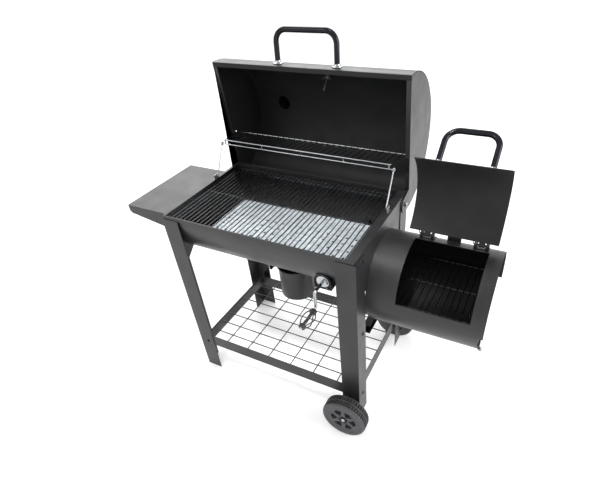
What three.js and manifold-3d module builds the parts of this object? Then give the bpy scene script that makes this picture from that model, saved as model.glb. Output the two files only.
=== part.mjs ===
// Offset smoker: a half-barrel grill on an angle-section cart with a side firebox.
// Millimetres, +Z up, +X towards the firebox, -Y the front. The lid and the firebox
// hatch stand open. The finished group rests on z = 0, centred on its own box.

import * as THREE from 'three';
import * as BufferGeometryUtils from 'three/addons/utils/BufferGeometryUtils.js';
import Module from 'manifold-3d';

const wasm = await Module();
wasm.setup();

// ---------- driving dimensions ----------
const gap = 0.3;               // clearance between pieces that touch
const sheet = 2;               // sheet steel of tub, lid, legs and firebox
const slip = 1;                // running clearance of a pin in its hole

const tubLength = 636;         // shell only, the end plates go outside it
const tubRadius = 195;
const rimHeight = 674;
const hemHeight = 12;
const rimFlangeLeft = 7;
const rimFlangeRight = 25;

const legWidth = 60;
const legDepth = 58;
const legDrop = 10;            // legs' top below the rim
const legStandoff = 5;         // from the tub's widest point to the flanges' outer face
const rightLegFoot = 30;       // the right legs stop above the ground
const gussetReach = 94;        // how far in from the flanges a gusset meets the tub
const gussetDrop = 202;        // its foot below the rim

const lidStandoff = 10;        // how far the lid's drum stands outside the tub's
const lidLip = 14;
const lidBackLip = 7.5;        // shorter, to pass behind the tub's hem
const lidOpen = 85;            // degrees, open against the stops
const pivotInset = 25.5;       // of the lid's bolts, from the rear flanges' face
const pivotDrop = 33;          // below the rim
const pinRadius = 4;
const earRadius = 28;
const stopDrop = 24;           // lid stops below the bolts

const handleTube = 8;          // radius of the bent handle tubes
const lidHandleSpan = 196;
const lidHandleHeight = 92;
const lidHandleAngle = 172;    // place round the closed lid, 90 is its top

const chimneyInset = 108.6;    // from the lid's left end
const chimneyRadius = 32;
const chimneyLength = 190;
const thermometerAngle = 130;
const thermometerRadius = 34;

const rodSize = 4;             // grate bars
const rodPitch = 15.2;
const grateDrop = 8;           // rods' top below the rim
const grateSide = 7;           // from the tub's widest point to the rods' ends
const grateSplit = 3;          // more than a pitch between the two grates
const ledgeInset = 28;

const trayInset = 69;          // from the tub's ends to the trays
const trayDepth = 224;
const trayDrop = 94;           // trays' top below the rim, at rest
const traySheet = 1.5;
const trayLift = 40;

const crankInset = 107;        // shaft from the tub's right end
const crankDrop = 110;         // shaft below the rim
const crankArm = 56;
const shaftRadius = 4.5;
const archRadius = 27;         // bracket's arch about the shaft
const plateSink = 0.45;        // its face behind where the arch's top meets the tub
const bearingDepth = 13.55;

const bucketX = 10;
const bucketRadius = 60;
const bucketHeight = 118;
const outletRadius = 46;

const tableLength = 171;
const tableFrontInset = 27;    // from the legs' front face
const tableBackInset = 62;
const tableDrop = 1;           // below the legs' top
const tableApronOuter = 29;
const tableApronInner = 56;

const boxRadius = 140;         // firebox drum
const boxDrop = 180;           // its axis below the rim
const boxLength = 325.4;
const openingLength = 201;
const openingInset = 37;       // from the drum's right end
const openingBack = 80.4;      // degrees round the drum, 90 is its top
const openingFront = 171.3;
const hatchOverlap = 18;
const hatchOpen = 126;
const hatchHandleSpan = 135;
const hatchHandleHeight = 102;
const hingeAngle = 75.6;       // place of the hatch's hinge round the drum
const hingeStandoff = 12.8;

const wheelRadius = 75;
const wheelWidth = 45;
const wheelInset = 31.6;       // axle from the right legs' outer face
const wheelStandoff = 20;      // inner face of each wheel from the legs
const tyreDepth = 16;
const axleRadius = 5;

const shelfTop = 171;
const railHeight = 47;
const shelfInsetLeft = 32.6;   // cross rails from the legs' outer faces
const shelfInsetRight = 10.6;
const wireRadius = 2;

const rackInset = 14.4;        // warming rack's legs from the tub's ends
const rackDepth = 109;
const rackReach = 53.5;        // its back wire behind the lid's bolts
const rackLean = 57;           // front wire behind the feet
const rackFootRise = 10;       // above the rim
const rackRise = 105;
const rackWire = 2;

// ---------- materials ----------
const steelPaint = { color: 0x2b2b2c, roughness: 0.55, metalness: 0.3 };
const darkPaint = { color: 0x1b1b1c, roughness: 0.6, metalness: 0.3 };
const enamel = { color: 0x0f0f10, roughness: 0.35, metalness: 0.2 };
const chrome = { color: 0xcfd2d4, roughness: 0.15, metalness: 1 };
const galvanised = { color: 0xb9c2c8, roughness: 0.35, metalness: 1 };
const rubber = { color: 0x2a2a2b, roughness: 0.85, metalness: 0 };
const hubPlastic = { color: 0x303031, roughness: 0.6, metalness: 0 };
const zinc = { color: 0x8d8f91, roughness: 0.4, metalness: 1 };

// ---------- helpers ----------
const rad = (degrees) => (degrees * Math.PI) / 180;
const object = new THREE.Group();

function add(name, geometry, finish, parent = object) {
  const mesh = new THREE.Mesh(geometry, new THREE.MeshStandardMaterial(finish));
  mesh.name = name;
  parent.add(mesh);
  return mesh;
}

// A box from its lowest to its highest corner.
function block(x0, x1, y0, y1, z0, z1) {
  const geometry = new THREE.BoxGeometry(x1 - x0, y1 - y0, z1 - z0);
  return geometry.translate((x0 + x1) / 2, (y0 + y1) / 2, (z0 + z1) / 2);
}

function solid(geometry) {
  const plain = geometry.clone();
  plain.deleteAttribute('normal');
  plain.deleteAttribute('uv');
  const merged = BufferGeometryUtils.mergeVertices(plain, 1e-4);
  const vertProperties = new Float32Array(merged.attributes.position.array);
  const triVerts = new Uint32Array(merged.index.array);
  return new wasm.Manifold(new wasm.Mesh({ numProp: 3, vertProperties, triVerts }));
}

function geometryOf(body) {
  const mesh = body.getMesh();
  const geometry = new THREE.BufferGeometry();
  geometry.setAttribute('position', new THREE.BufferAttribute(mesh.vertProperties, 3));
  geometry.setIndex(new THREE.BufferAttribute(mesh.triVerts, 1));
  return geometry;
}

const join = (first, ...others) => geometryOf(others.reduce((all, one) => all.add(solid(one)), solid(first)));
const cut = (first, ...tools) => geometryOf(tools.reduce((all, one) => all.subtract(solid(one)), solid(first)));
const overlap = (first, second) => geometryOf(solid(first).intersect(solid(second)));

// Extrusions: a (y, z) outline along X and an (x, z) outline along Y.
function extrude(shape, depth, segments = 12) {
  return new THREE.ExtrudeGeometry(shape, { depth, bevelEnabled: false, curveSegments: segments });
}

function alongX(shape, x0, x1, segments) {
  const turn = new THREE.Matrix4().makeBasis(axisY, axisZ, axisX);
  return extrude(shape, x1 - x0, segments).applyMatrix4(turn).translate(x0, 0, 0);
}

function alongY(shape, y0, y1, segments) {
  const turn = new THREE.Matrix4().makeBasis(axisX, axisZ, axisY.clone().negate());
  return extrude(shape, y1 - y0, segments).applyMatrix4(turn).translate(0, y1, 0);
}

const axisX = new THREE.Vector3(1, 0, 0);
const axisY = new THREE.Vector3(0, 1, 0);
const axisZ = new THREE.Vector3(0, 0, 1);

function outline(points) {
  return new THREE.Shape(points.map(([u, v]) => new THREE.Vector2(u, v)));
}

// Part of a ring between two radii and two angles, as an outline.
function ringPart(cy, cz, inner, outer, from, to) {
  const shape = new THREE.Shape();
  shape.absarc(cy, cz, outer, rad(from), rad(to), false);
  shape.absarc(cy, cz, inner, rad(to), rad(from), true);
  shape.closePath();
  return shape;
}

// A round bar between two points.
function bar(from, to, radius, sides = 12) {
  const a = new THREE.Vector3(...from);
  const b = new THREE.Vector3(...to);
  const length = a.distanceTo(b);
  const geometry = new THREE.CylinderGeometry(radius, radius, length, sides);
  const turn = new THREE.Quaternion().setFromUnitVectors(axisY, b.clone().sub(a).normalize());
  const middle = a.clone().add(b).multiplyScalar(0.5);
  return geometry.applyQuaternion(turn).translate(middle.x, middle.y, middle.z);
}

// A path through given stops, one step for each stop.
class StopPath extends THREE.Curve {
  constructor(stops) {
    super();
    this.stops = stops;
  }

  getPoint(t, target = new THREE.Vector3()) {
    const place = t * (this.stops.length - 1);
    const i = Math.min(Math.floor(place), this.stops.length - 2);
    return target.copy(this.stops[i]).lerp(this.stops[i + 1], place - i);
  }

  getPointAt(u, target) {
    return this.getPoint(u, target);
  }

  getTangentAt(u, target = new THREE.Vector3()) {
    const i = Math.round(u * (this.stops.length - 1));
    const ahead = this.stops[Math.min(i + 1, this.stops.length - 1)].clone().sub(this.stops[i]);
    const behind = this.stops[i].clone().sub(this.stops[Math.max(i - 1, 0)]);
    return target.copy(ahead.normalize()).add(behind.normalize()).normalize();
  }
}

function tube(stops, radius, sides) {
  const ring = new THREE.Shape();
  for (let k = 0; k < sides; k += 1) {
    const turn = ((k + 0.5) * 2 * Math.PI) / sides;
    const [u, v] = [radius * Math.cos(turn), radius * Math.sin(turn)];
    if (k === 0) ring.moveTo(u, v);
    else ring.lineTo(u, v);
  }
  ring.closePath();
  return new THREE.ExtrudeGeometry(ring, { steps: stops.length - 1, extrudePath: new StopPath(stops) });
}

// A round bar bent through points, with a bend of the given radius at each inner point.
function bentBar(points, radius, bend, sides = 10, bendSteps = 5) {
  const corners = points.map((p) => new THREE.Vector3(...p));
  const stops = [corners[0]];
  for (let i = 1; i < corners.length - 1; i += 1) {
    const before = corners[i - 1].clone().sub(corners[i]).normalize();
    const after = corners[i + 1].clone().sub(corners[i]).normalize();
    const half = before.angleTo(after) / 2;
    const centre = before.clone().add(after).setLength(bend / Math.sin(half)).add(corners[i]);
    const start = corners[i].clone().addScaledVector(before, bend / Math.tan(half));
    const end = corners[i].clone().addScaledVector(after, bend / Math.tan(half));
    for (let step = 0; step <= bendSteps; step += 1) {
      const spoke = start.clone().lerp(end, step / bendSteps).sub(centre);
      stops.push(spoke.setLength(bend).add(centre));
    }
  }
  stops.push(corners[corners.length - 1]);
  return tube(stops, radius, sides);
}

// Turn a geometry about an axis along X through (y, z); a positive angle lifts +Y.
function swing(geometry, y, z, degrees) {
  return geometry.translate(0, -y, -z).rotateX(rad(degrees)).translate(0, y, z);
}

function swingPoint(point, y, z, degrees) {
  const c = Math.cos(rad(degrees));
  const s = Math.sin(rad(degrees));
  const dy = point.y - y;
  const dz = point.z - z;
  return { y: y + c * dy - s * dz, z: z + s * dy + c * dz };
}

// A round plate or disc with its axis along X, Y or Z.
const discX = (x0, x1, y, z, radius, sides = 24) => bar([x0, y, z], [x1, y, z], radius, sides);
const discY = (x, y0, y1, z, radius, sides = 24) => bar([x, y0, z], [x, y1, z], radius, sides);
const discZ = (x, y, z0, z1, radius, sides = 24) => bar([x, y, z0], [x, y, z1], radius, sides);

// ---------- places worked out from the dimensions ----------
const lidRadius = tubRadius + lidStandoff;
const legPlane = tubRadius + legStandoff;
const legTop = rimHeight - legDrop;
const lidPivotY = legPlane - pivotInset;
const lidPivotZ = rimHeight - pivotDrop;
const tubHalf = tubLength / 2;
const endInner = tubHalf + gap;
const endOuter = endInner + sheet;
const legInner = endOuter + gap;
const legOuter = legInner + sheet;
const boxLeft = endOuter + gap;
const lidInner = legOuter + slip;
const lidOuter = lidInner + sheet;
const tubInside = tubRadius - sheet;
const tubBottom = rimHeight - tubRadius;
const lidInside = lidRadius - sheet;
const lidAxis = rimHeight + 1;
const lidRim = rimHeight + 1.5;
const grateTop = rimHeight - grateDrop;
const grateHalfDepth = tubRadius - grateSide;
const ledgeTop = grateTop - 2 * rodSize;
const ledgeEnd = tubHalf - ledgeInset;
const grateRoom = (tubLength - rimFlangeLeft - grateSplit - rodPitch) / 2;
const rodsPerGrate = Math.floor(grateRoom / rodPitch);
const trayLength = 2 * (tubHalf - trayInset);
const trayHeight = rimHeight - trayDrop;
const crankX = tubHalf - crankInset;
const crankZ = rimHeight - crankDrop;
const crankPlateY = plateSink - Math.sqrt(tubRadius ** 2 - (crankDrop - archRadius) ** 2);
const chimneyX = chimneyInset - lidOuter;
const tableFront = tableFrontInset - legPlane;
const tableBack = legPlane - tableBackInset;
const tableTop = legTop - tableDrop;
const boxHeight = rimHeight - boxDrop;
const boxRight = boxLeft + boxLength;
const openingRight = boxRight - openingInset;
const openingLeft = openingRight - openingLength;
const wheelX = legOuter - wheelInset;
const wheelFace = legPlane + wheelStandoff + wheelWidth;
const shelfLeft = shelfInsetLeft - legOuter;
const shelfRight = legOuter - shelfInsetRight;
const rackHalf = tubHalf - rackInset;
const rackBack = { y: lidPivotY + rackReach, z: rimHeight + rackRise };
const rackFront = { y: rackBack.y - rackDepth, z: rackBack.z };
const rackFoot = { y: rackFront.y - rackLean, z: rimHeight + rackFootRise };
const bearingBack = Math.sqrt(tubInside ** 2 - (crankDrop + 12) ** 2) + sheet / 2;
const ascending = (a, b) => (a < b ? [a, b] : [b, a]);
const sides = [['left', -1], ['right', 1]];
const opened = (geometry) => swing(geometry, lidPivotY, lidPivotZ, -lidOpen);

// ---------- tub ----------
function tubShell() {
  const wall = alongX(ringPart(0, rimHeight, tubInside, tubRadius, 180, 360), -tubHalf, tubHalf, 28);
  const hems = [-1, 1].map((s) => {
    const inner = s * (tubRadius - sheet + 0.5);
    const outer = s * (legPlane - sheet - gap);
    return block(-tubHalf, tubHalf, ...ascending(inner, outer), rimHeight - hemHeight, rimHeight);
  });
  const shaftHole = bar([crankX, -tubRadius - 20, crankZ], [crankX, 0, crankZ], shaftRadius + slip, 12);
  const outlet = discZ(bucketX, 0, tubBottom - 20, tubBottom + 40, outletRadius - sheet, 24);
  const ledges = [-1, 1].flatMap((s) => {
    const outer = s * (Math.sqrt(tubInside ** 2 - (rimHeight - ledgeTop) ** 2) + sheet / 2);
    const inner = s * (grateHalfDepth - 14);
    const flat = block(-ledgeEnd, ledgeEnd, ...ascending(outer, inner), ledgeTop - sheet, ledgeTop);
    const fold = ascending(inner, inner + s * sheet);
    return [flat, block(-ledgeEnd, ledgeEnd, ...fold, ledgeTop - 10, ledgeTop)];
  });
  const bearingY = [bearingBack - bearingDepth, bearingBack];
  const bearing = block(crankX - 12, crankX + 12, ...bearingY, crankZ - 12, crankZ + 12);
  const bore = bar([crankX, 0, crankZ], [crankX, bearingBack + 1, crankZ], shaftRadius + gap, 12);
  return cut(join(wall, ...hems, ...ledges, bearing), shaftHole, outlet, bore);
}
add('tub_shell', tubShell(), steelPaint);

function halfDisc(radius) {
  const shape = new THREE.Shape();
  shape.moveTo(-radius, rimHeight);
  shape.absarc(0, rimHeight, radius, Math.PI, 2 * Math.PI, false);
  shape.closePath();
  return shape;
}

function tubEnd(side, flange) {
  const [x0, x1] = ascending(side * endInner, side * endOuter);
  const plate = alongX(halfDisc(tubRadius), x0, x1, 28);
  const [f0, f1] = ascending(side * (tubHalf - flange), side * (endInner + 0.5));
  const lip = block(f0, f1, -tubInside + gap, tubInside - gap, rimHeight - sheet, rimHeight);
  const pinHole = discX(x0 - 1, x1 + 1, lidPivotY, lidPivotZ, pinRadius + gap, 16);
  return cut(join(plate, lip), pinHole);
}
add('tub_end_left', tubEnd(-1, rimFlangeLeft), steelPaint);
const portRadius = boxRadius - 18;
const smokePort = overlap(
  discX(endInner - 1, boxLeft + 10, 0, boxHeight, portRadius, 28),
  discX(endInner - 1, boxLeft + 10, 0, rimHeight, tubInside - 12, 28),
);
add('tub_end_right', cut(tubEnd(1, rimFlangeRight), smokePort), steelPaint);

// ---------- legs ----------
// An angle section: one flange across the cart, one along it, outer corner at (x, y).
function leg(side, end, foot) {
  const x = side * legOuter;
  const y = end * legPlane;
  const across = ascending(x, x - side * legWidth);
  const deep = ascending(y, y - end * legDepth);
  const wide = block(...across, ...ascending(y, y - end * sheet), foot, legTop);
  const long = block(...ascending(x, x - side * sheet), ...deep, foot, legTop);
  return join(wide, long);
}

function gusset(side, end) {
  const corner = end * (legPlane - legDepth + 6);
  const drop = (y) => rimHeight - Math.sqrt((tubRadius + slip) ** 2 - y * y);
  const low = end * (legPlane - gussetReach);
  const foot = rimHeight - gussetDrop;
  const shape = outline([[corner, drop(corner)], [corner, foot], [low, drop(low)]]);
  return alongX(shape, ...ascending(side * legInner, side * (legInner + sheet)));
}

for (const [sideName, side] of sides) {
  for (const [endName, end] of [['front', -1], ['rear', 1]]) {
    let geometry = leg(side, end, side < 0 ? 0 : rightLegFoot);
    if (end > 0) {
      geometry = cut(geometry, discX(-lidOuter, lidOuter, lidPivotY, lidPivotZ, pinRadius + gap, 16));
    }
    if (side > 0) {
      geometry = cut(geometry, discY(wheelX, -legPlane - 5, legPlane + 5, wheelRadius, axleRadius + gap, 16));
    }

    // Gusset between the long flange and the curve of the tub, welded to the flange.
    if (side < 0) geometry = join(geometry, gusset(side, end));
    add(`leg_${endName}_${sideName}`, geometry, steelPaint);
  }
}

// ---------- lid, built closed and swung open about its ear bolts ----------
function lidShell() {
  const wall = alongX(ringPart(0, lidAxis, lidInside, lidRadius, 0, 180), -lidOuter, lidOuter, 32);
  const lips = [-1, 1].map((s) => {
    const y = ascending(s * (lidInside + 0.5), s * (lidRadius - (s < 0 ? lidLip : lidBackLip)));
    return block(-lidInner + gap, lidInner - gap, ...y, lidRim, lidRim + sheet);
  });
  const skirts = [-1, 1].map((s) => {
    const y = ascending(s * lidInside, s * lidRadius);
    return block(-lidOuter, lidOuter, ...y, lidAxis - 0.2, lidAxis + 4);
  });
  const flue = discZ(chimneyX, 0, lidAxis + 150, lidAxis + lidRadius + 20, chimneyRadius - 8, 20);
  const stem = thermometerBar(lidRadius - 20, lidRadius + 20, 4.5);
  return cut(join(wall, ...lips, ...skirts), flue, stem);
}

// A bar on the thermometer's axis between two distances from the lid's axis.
function thermometerBar(from, to, radius, count = 12) {
  const [c, s] = [Math.cos(rad(thermometerAngle)), Math.sin(rad(thermometerAngle))];
  return bar([0, c * from, lidAxis + s * from], [0, c * to, lidAxis + s * to], radius, count);
}

// Where the back wire of the warming rack meets the lid's ends, on the closed lid.
const rackPin = swingPoint(rackBack, lidPivotY, lidPivotZ, lidOpen);

function lidEnd(side) {
  const x = ascending(side * lidInner, side * lidOuter);
  const inside = lidInside - gap;
  const shape = new THREE.Shape();
  shape.absarc(0, lidAxis, inside, 0, Math.PI, false);
  shape.lineTo(lidPivotY - earRadius - 5, lidAxis);
  shape.lineTo(lidPivotY - earRadius, lidPivotZ);
  shape.absarc(lidPivotY, lidPivotZ, earRadius, Math.PI, 2 * Math.PI, false);
  shape.closePath();
  const plate = alongX(shape, ...x, 32);
  const lipX = ascending(side * (lidInner + 0.5), side * (lidOuter - lidLip));

  // The turned-in edge stops short of the bolts, so that it clears the tub's corner as it opens.
  const lipY = [-lidRadius + lidLip + gap, lidPivotY - earRadius];
  const lip = block(...lipX, ...lipY, lidRim, lidRim + sheet);
  const notchX = lipX.map((v) => v - side * 0.7);
  const notch = block(...notchX, rackFoot.y - 26, rackFoot.y + 26, lidRim - 1, lidRim + 5);
  const hole = discX(-lidOuter - 1, lidOuter + 1, lidPivotY, lidPivotZ, pinRadius + gap, 16);
  const pinHole = discX(x[0] - 1, x[1] + 1, rackPin.y, rackPin.z, rackWire + slip, 16);
  return cut(join(plate, lip), notch, hole, pinHole);
}

add('lid_shell', opened(lidShell()), steelPaint);
for (const [name, side] of sides) add(`lid_end_${name}`, opened(lidEnd(side)), steelPaint);

// Shoulder bolts through the ears, the legs and the tub ends.
for (const [name, side] of sides) {
  const inner = side * (tubHalf - 5);
  const outer = side * (lidOuter + gap);
  const shank = bar([inner, lidPivotY, lidPivotZ], [outer + side, lidPivotY, lidPivotZ], pinRadius, 16);
  const head = bar([outer, lidPivotY, lidPivotZ], [outer + side * 5, lidPivotY, lidPivotZ], 8, 6);
  const nut = bar([inner, lidPivotY, lidPivotZ], [side * (tubHalf - gap), lidPivotY, lidPivotZ], 7, 6);
  add(`lid_bolt_${name}`, join(shank, head, nut), zinc);
}

// Rubber stops on the rear legs, where the lid's back lip comes to rest.
const stopZ = lidPivotZ - stopDrop;
const stopLean = (lidRim - lidPivotZ - Math.cos(rad(lidOpen)) * (stopZ - lidPivotZ)) / Math.sin(rad(lidOpen));
const stopEnd = lidPivotY + stopLean - 3 * gap;
for (const [name, side] of sides) {
  const x = side * (legOuter - legWidth / 2);
  add(`lid_stop_${name}`, discY(x, legPlane + gap, stopEnd, stopZ, 8, 16), rubber);
}

// ---------- pieces on the lid ----------
// Put a geometry that stands on z = 0 on a drum of the given radius, at an angle round it.
function onDrum(geometry, radius, degrees, axisHeight) {
  const lifted = geometry.translate(0, 0, radius).rotateX(rad(degrees - 90));
  return lifted.translate(0, 0, axisHeight);
}

function bowHandle(span, height) {
  const half = span / 2;
  return bentBar([[-half, 0, 0], [-half, 0, height], [half, 0, height], [half, 0, 0]], handleTube, 34, 12, 6);
}
const lidHandle = onDrum(bowHandle(lidHandleSpan, lidHandleHeight), lidRadius + gap, lidHandleAngle, lidAxis);
add('lid_handle', opened(lidHandle), chrome);

function chimney() {
  const top = lidAxis + lidRadius + chimneyLength;
  const pipe = discZ(chimneyX, 0, lidAxis + 150, top, chimneyRadius, 24);
  const flange = ringPart(0, lidAxis, lidRadius + gap, lidRadius + gap + sheet, 60, 120);
  const skirt = alongX(flange, chimneyX - 60, chimneyX + 60, 12);
  const saddle = overlap(skirt, discZ(chimneyX, 0, lidAxis + 150, top, chimneyRadius + 16, 24));
  const lug = block(chimneyX - chimneyRadius - 14, chimneyX - chimneyRadius + 1, -6, 6, top - 8, top);
  const bore = discZ(chimneyX, 0, lidAxis + 140, top + 5, chimneyRadius - sheet, 24);
  const lidForm = discX(chimneyX - 80, chimneyX + 80, 0, lidAxis, lidRadius + gap, 96);
  const pinHole = discZ(chimneyX - chimneyRadius - 8, 0, top - 20, top + 5, pinRadius / 2 + gap, 12);
  return cut(join(pipe, saddle, lug), bore, lidForm, pinHole);
}

function chimneyCap() {
  const top = lidAxis + lidRadius + chimneyLength + gap;
  const pin = discZ(chimneyX - chimneyRadius - 8, 0, top - 8, top + 5, pinRadius / 2, 12);
  const ear = block(chimneyX - chimneyRadius - 14, chimneyX, -7, 7, top, top + sheet);
  return join(discZ(chimneyX, 0, top, top + sheet, chimneyRadius + 4, 24), ear, pin);
}
add('chimney', opened(chimney()), steelPaint);
add('chimney_cap', opened(chimneyCap()), steelPaint);

function thermometer() {
  const dial = thermometerBar(lidRadius + slip, lidRadius + 13, thermometerRadius, 24);
  const stem = thermometerBar(lidRadius - 56, lidRadius + 5, 3, 10);
  const nut = thermometerBar(lidInside - 9, lidInside - slip, 8, 6);
  const wing = block(-15, 15, -1.5, 1.5, 0, 9);
  return join(dial, stem, nut, onDrum(wing, lidInside - 16, thermometerAngle, lidAxis));
}
add('thermometer', opened(thermometer()), chrome);

// ---------- warming rack ----------
function rackGrid() {
  const top = rackFront.z + 14;
  const inner = rackHalf - 9;
  const across = (half, y, z) => bar([-half, y, z], [half, y, z], rackWire, 8);
  const parts = [across(rackHalf + 5, rackFront.y, rackFront.z), across(inner, rackFront.y, top)];
  parts.push(across(legOuter - slip, rackBack.y, rackBack.z));
  const count = 28;
  for (let i = 0; i <= count; i += 1) {
    const x = -inner + 1 + ((2 * inner - 2) * i) / count;
    parts.push(bar([x, rackFront.y - 1, top], [x, rackBack.y + 1, rackBack.z], rackWire * 0.75, 4));
  }
  for (let i = 0; i <= 4; i += 1) {
    const x = -inner + 6 + ((2 * inner - 12) * i) / 4;
    parts.push(bar([x, rackFront.y, rackFront.z - 1], [x, rackFront.y, top + 1], rackWire, 8));
  }
  return join(...parts);
}
add('rack_grid', rackGrid(), chrome);

for (const [name, side] of sides) {
  const x = side * rackHalf;
  const corner = [x, rackFoot.y, rackFoot.z];
  const legEnds = [[side * (rackHalf + 10), rackFoot.y, rackFoot.z], [x, rackFront.y - 3, rackFront.z - 5]];
  const wire = bentBar([legEnds[0], corner, legEnds[1]], rackWire, 4, 8, 4);
  const eyeX = ascending(x - side * rackWire, x + side * rackWire);
  const eye = discX(...eyeX, rackFront.y, rackFront.z, rackWire + 4, 12);
  const hole = discX(x - 9, x + 9, rackFront.y, rackFront.z, rackWire + slip, 12);
  add(`rack_leg_${name}`, cut(join(wire, eye), hole), chrome);

  const tab = ascending(side * (rackHalf + 5), side * (rackHalf + 7));
  const foot = ascending(side * (rackHalf + 5), side * (tubHalf - 2));
  const plate = block(...tab, rackFoot.y - 11, rackFoot.y + 11, rimHeight + gap, rackFoot.z + 7);
  const base = block(...foot, rackFoot.y - 11, rackFoot.y + 11, rimHeight + gap, rimHeight + gap + sheet);
  const pinX = side * (rackHalf + 6);
  const pin = discX(pinX - 5, pinX + 5, rackFoot.y, rackFoot.z, rackWire + gap, 12);
  add(`rack_bracket_${name}`, cut(join(plate, base), pin), zinc);
}

// ---------- cooking grates ----------
function cookingGrate(firstRod) {
  const lastRod = firstRod + rodPitch * (rodsPerGrate - 1);
  const parts = [];
  for (let i = 0; i < rodsPerGrate; i += 1) {
    const x = firstRod + rodPitch * i;
    const rod = [x - rodSize / 2, x + rodSize / 2];
    parts.push(block(...rod, -grateHalfDepth, grateHalfDepth, grateTop - rodSize, grateTop));
  }
  for (const y of [-grateHalfDepth + 7, 0, grateHalfDepth - 7]) {
    const width = [y - rodSize / 2, y + rodSize / 2];
    parts.push(block(firstRod - 3, lastRod + 3, ...width, ledgeTop + gap, grateTop - rodSize + gap));
  }
  return join(...parts);
}
const grateLeft = -tubHalf + rimFlangeLeft;
add('cooking_grate_left', cookingGrate(grateLeft), enamel);
add('cooking_grate_right', cookingGrate(grateLeft + rodPitch * rodsPerGrate + grateSplit), enamel);

// ---------- coal trays on a frame that the crank's cams lift ----------
const frameTop = trayHeight - traySheet - gap;
const frameBar = 6;
const railY = 96;
function coalTray(x0, x1) {
  const half = trayDepth / 2;
  const parts = [block(x0, x1, -half, half, trayHeight - traySheet, trayHeight)];
  for (const s of [-1, 1]) {
    parts.push(block(x0, x1, ...ascending(s * half, s * (half - traySheet)), trayHeight - 10, trayHeight));
  }
  const holes = [];
  const rows = 5;
  const columns = 7;
  for (let row = 0; row < rows; row += 1) {
    for (let column = 0; column < columns; column += 1) {
      const x = x0 + ((x1 - x0) * (column + 0.5 + (row % 2 ? 0.2 : -0.2))) / columns;
      const y = -half + (trayDepth * (row + 0.5)) / rows;
      holes.push(discZ(x, y, trayHeight - 6, trayHeight + 3, 5, 5));
    }
  }
  return cut(join(...parts), ...holes);
}
add('coal_tray_left', coalTray(-trayLength / 2, -slip), galvanised);
add('coal_tray_right', coalTray(slip, trayLength / 2), galvanised);

function trayFrame() {
  const half = trayLength / 2 - 6;
  const z = [frameTop - frameBar, frameTop];
  const railSides = (s) => [s * railY - frameBar / 2, s * railY + frameBar / 2];
  const parts = [-1, 1].map((s) => block(-half, half, ...railSides(s), ...z));
  for (const x of [-half + 3, 0, half - 3]) parts.push(block(x - 3, x + 3, -railY, railY, ...z));
  for (const s of [-1, 1]) {
    const reach = ascending(s * (half - 6), s * (tubHalf - 6));
    parts.push(block(...reach, -3, 3, ...z));
  }
  return join(...parts);
}
add('tray_frame', trayFrame(), darkPaint);

// Crank: its flat-faced cams are involutes, so the frame rises evenly as it turns.
const liftRate = trayLift / Math.PI;
const camTop = frameTop - frameBar - gap - crankZ;
function cam(y) {
  const start = camTop / liftRate;
  const turn = Math.PI - start;
  const points = [];
  const count = 16;
  for (let i = 0; i <= count; i += 1) {
    const roll = start + (Math.PI * i) / count;
    const u = Math.cos(roll) + roll * Math.sin(roll);
    const v = Math.sin(roll) - roll * Math.cos(roll);
    points.push([liftRate * u, liftRate * v]);
  }
  points.push([-6, -2], [-1, -5], [4, -4]);
  const [c, s] = [Math.cos(turn), Math.sin(turn)];
  const placed = points.map(([u, v]) => [crankX + u * c - v * s, crankZ + u * s + v * c]);
  return alongY(outline(placed), y - 4, y + 4);
}

const armY = crankPlateY - 51;
const gripZ = crankZ - crankArm;
const gripEnd = armY - 86;
function crankRod() {
  const path = [[crankX, bearingBack - 6, crankZ], [crankX, armY, crankZ]];
  path.push([crankX, armY, gripZ], [crankX, gripEnd, gripZ]);
  return join(bentBar(path, shaftRadius, 9, 12, 5), cam(-railY), cam(railY));
}
add('crank_rod', crankRod(), chrome);

function crankGrip() {
  const [near, far] = [armY - 12, gripEnd + 3];
  const parts = [];
  for (const y of [near - 5, far + 5]) parts.push(discY(crankX, y - 5, y + 5, gripZ, 10, 16));
  const strands = 5;
  for (let k = 0; k < strands; k += 1) {
    const turn = (2 * Math.PI * k) / strands;
    const stops = [];
    for (let i = 0; i <= 6; i += 1) {
      const y = near - 5 + ((far - near + 10) * i) / 6;
      const bow = 8 + 14 * Math.sin((Math.PI * i) / 6);
      stops.push(new THREE.Vector3(crankX + bow * Math.cos(turn), y, gripZ + bow * Math.sin(turn)));
    }
    parts.push(tube(stops, 1.6, 5));
  }
  return cut(join(...parts), discY(crankX, gripEnd - 5, armY, gripZ, shaftRadius + gap, 16));
}
add('crank_grip', crankGrip(), darkPaint);

// An arch with a flat foot, about the crank's axis.
function arch(half, foot) {
  const shape = new THREE.Shape();
  shape.moveTo(crankX - half, crankZ - foot);
  shape.lineTo(crankX + half, crankZ - foot);
  shape.absarc(crankX, crankZ, half, 0, Math.PI, false);
  shape.closePath();
  return shape;
}

// The space the tub takes up, for trimming what stands against it.
const tubForm = () => discX(-tubHalf, tubHalf, 0, rimHeight, tubRadius + gap, 96);

function crankBracket() {
  const back = 0;
  const shell = alongY(arch(archRadius, 24), crankPlateY - 4, back, 12);
  const pocket = alongY(arch(archRadius - 3, 21), crankPlateY - 9, crankPlateY, 12);
  const hollow = alongY(arch(archRadius - 3, 21), crankPlateY + sheet, back + 5, 12);
  const hole = discY(crankX, crankPlateY - 20, back, crankZ, shaftRadius + gap, 12);
  return cut(shell, pocket, hollow, tubForm(), hole);
}
add('crank_bracket', crankBracket(), darkPaint);
const washer = discY(crankX, crankPlateY - 3, crankPlateY - gap, crankZ, 19, 24);
const washerBore = discY(crankX, crankPlateY - 9, crankPlateY + 5, crankZ, shaftRadius + gap, 16);
add('crank_washer', cut(washer, washerBore), chrome);

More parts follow.
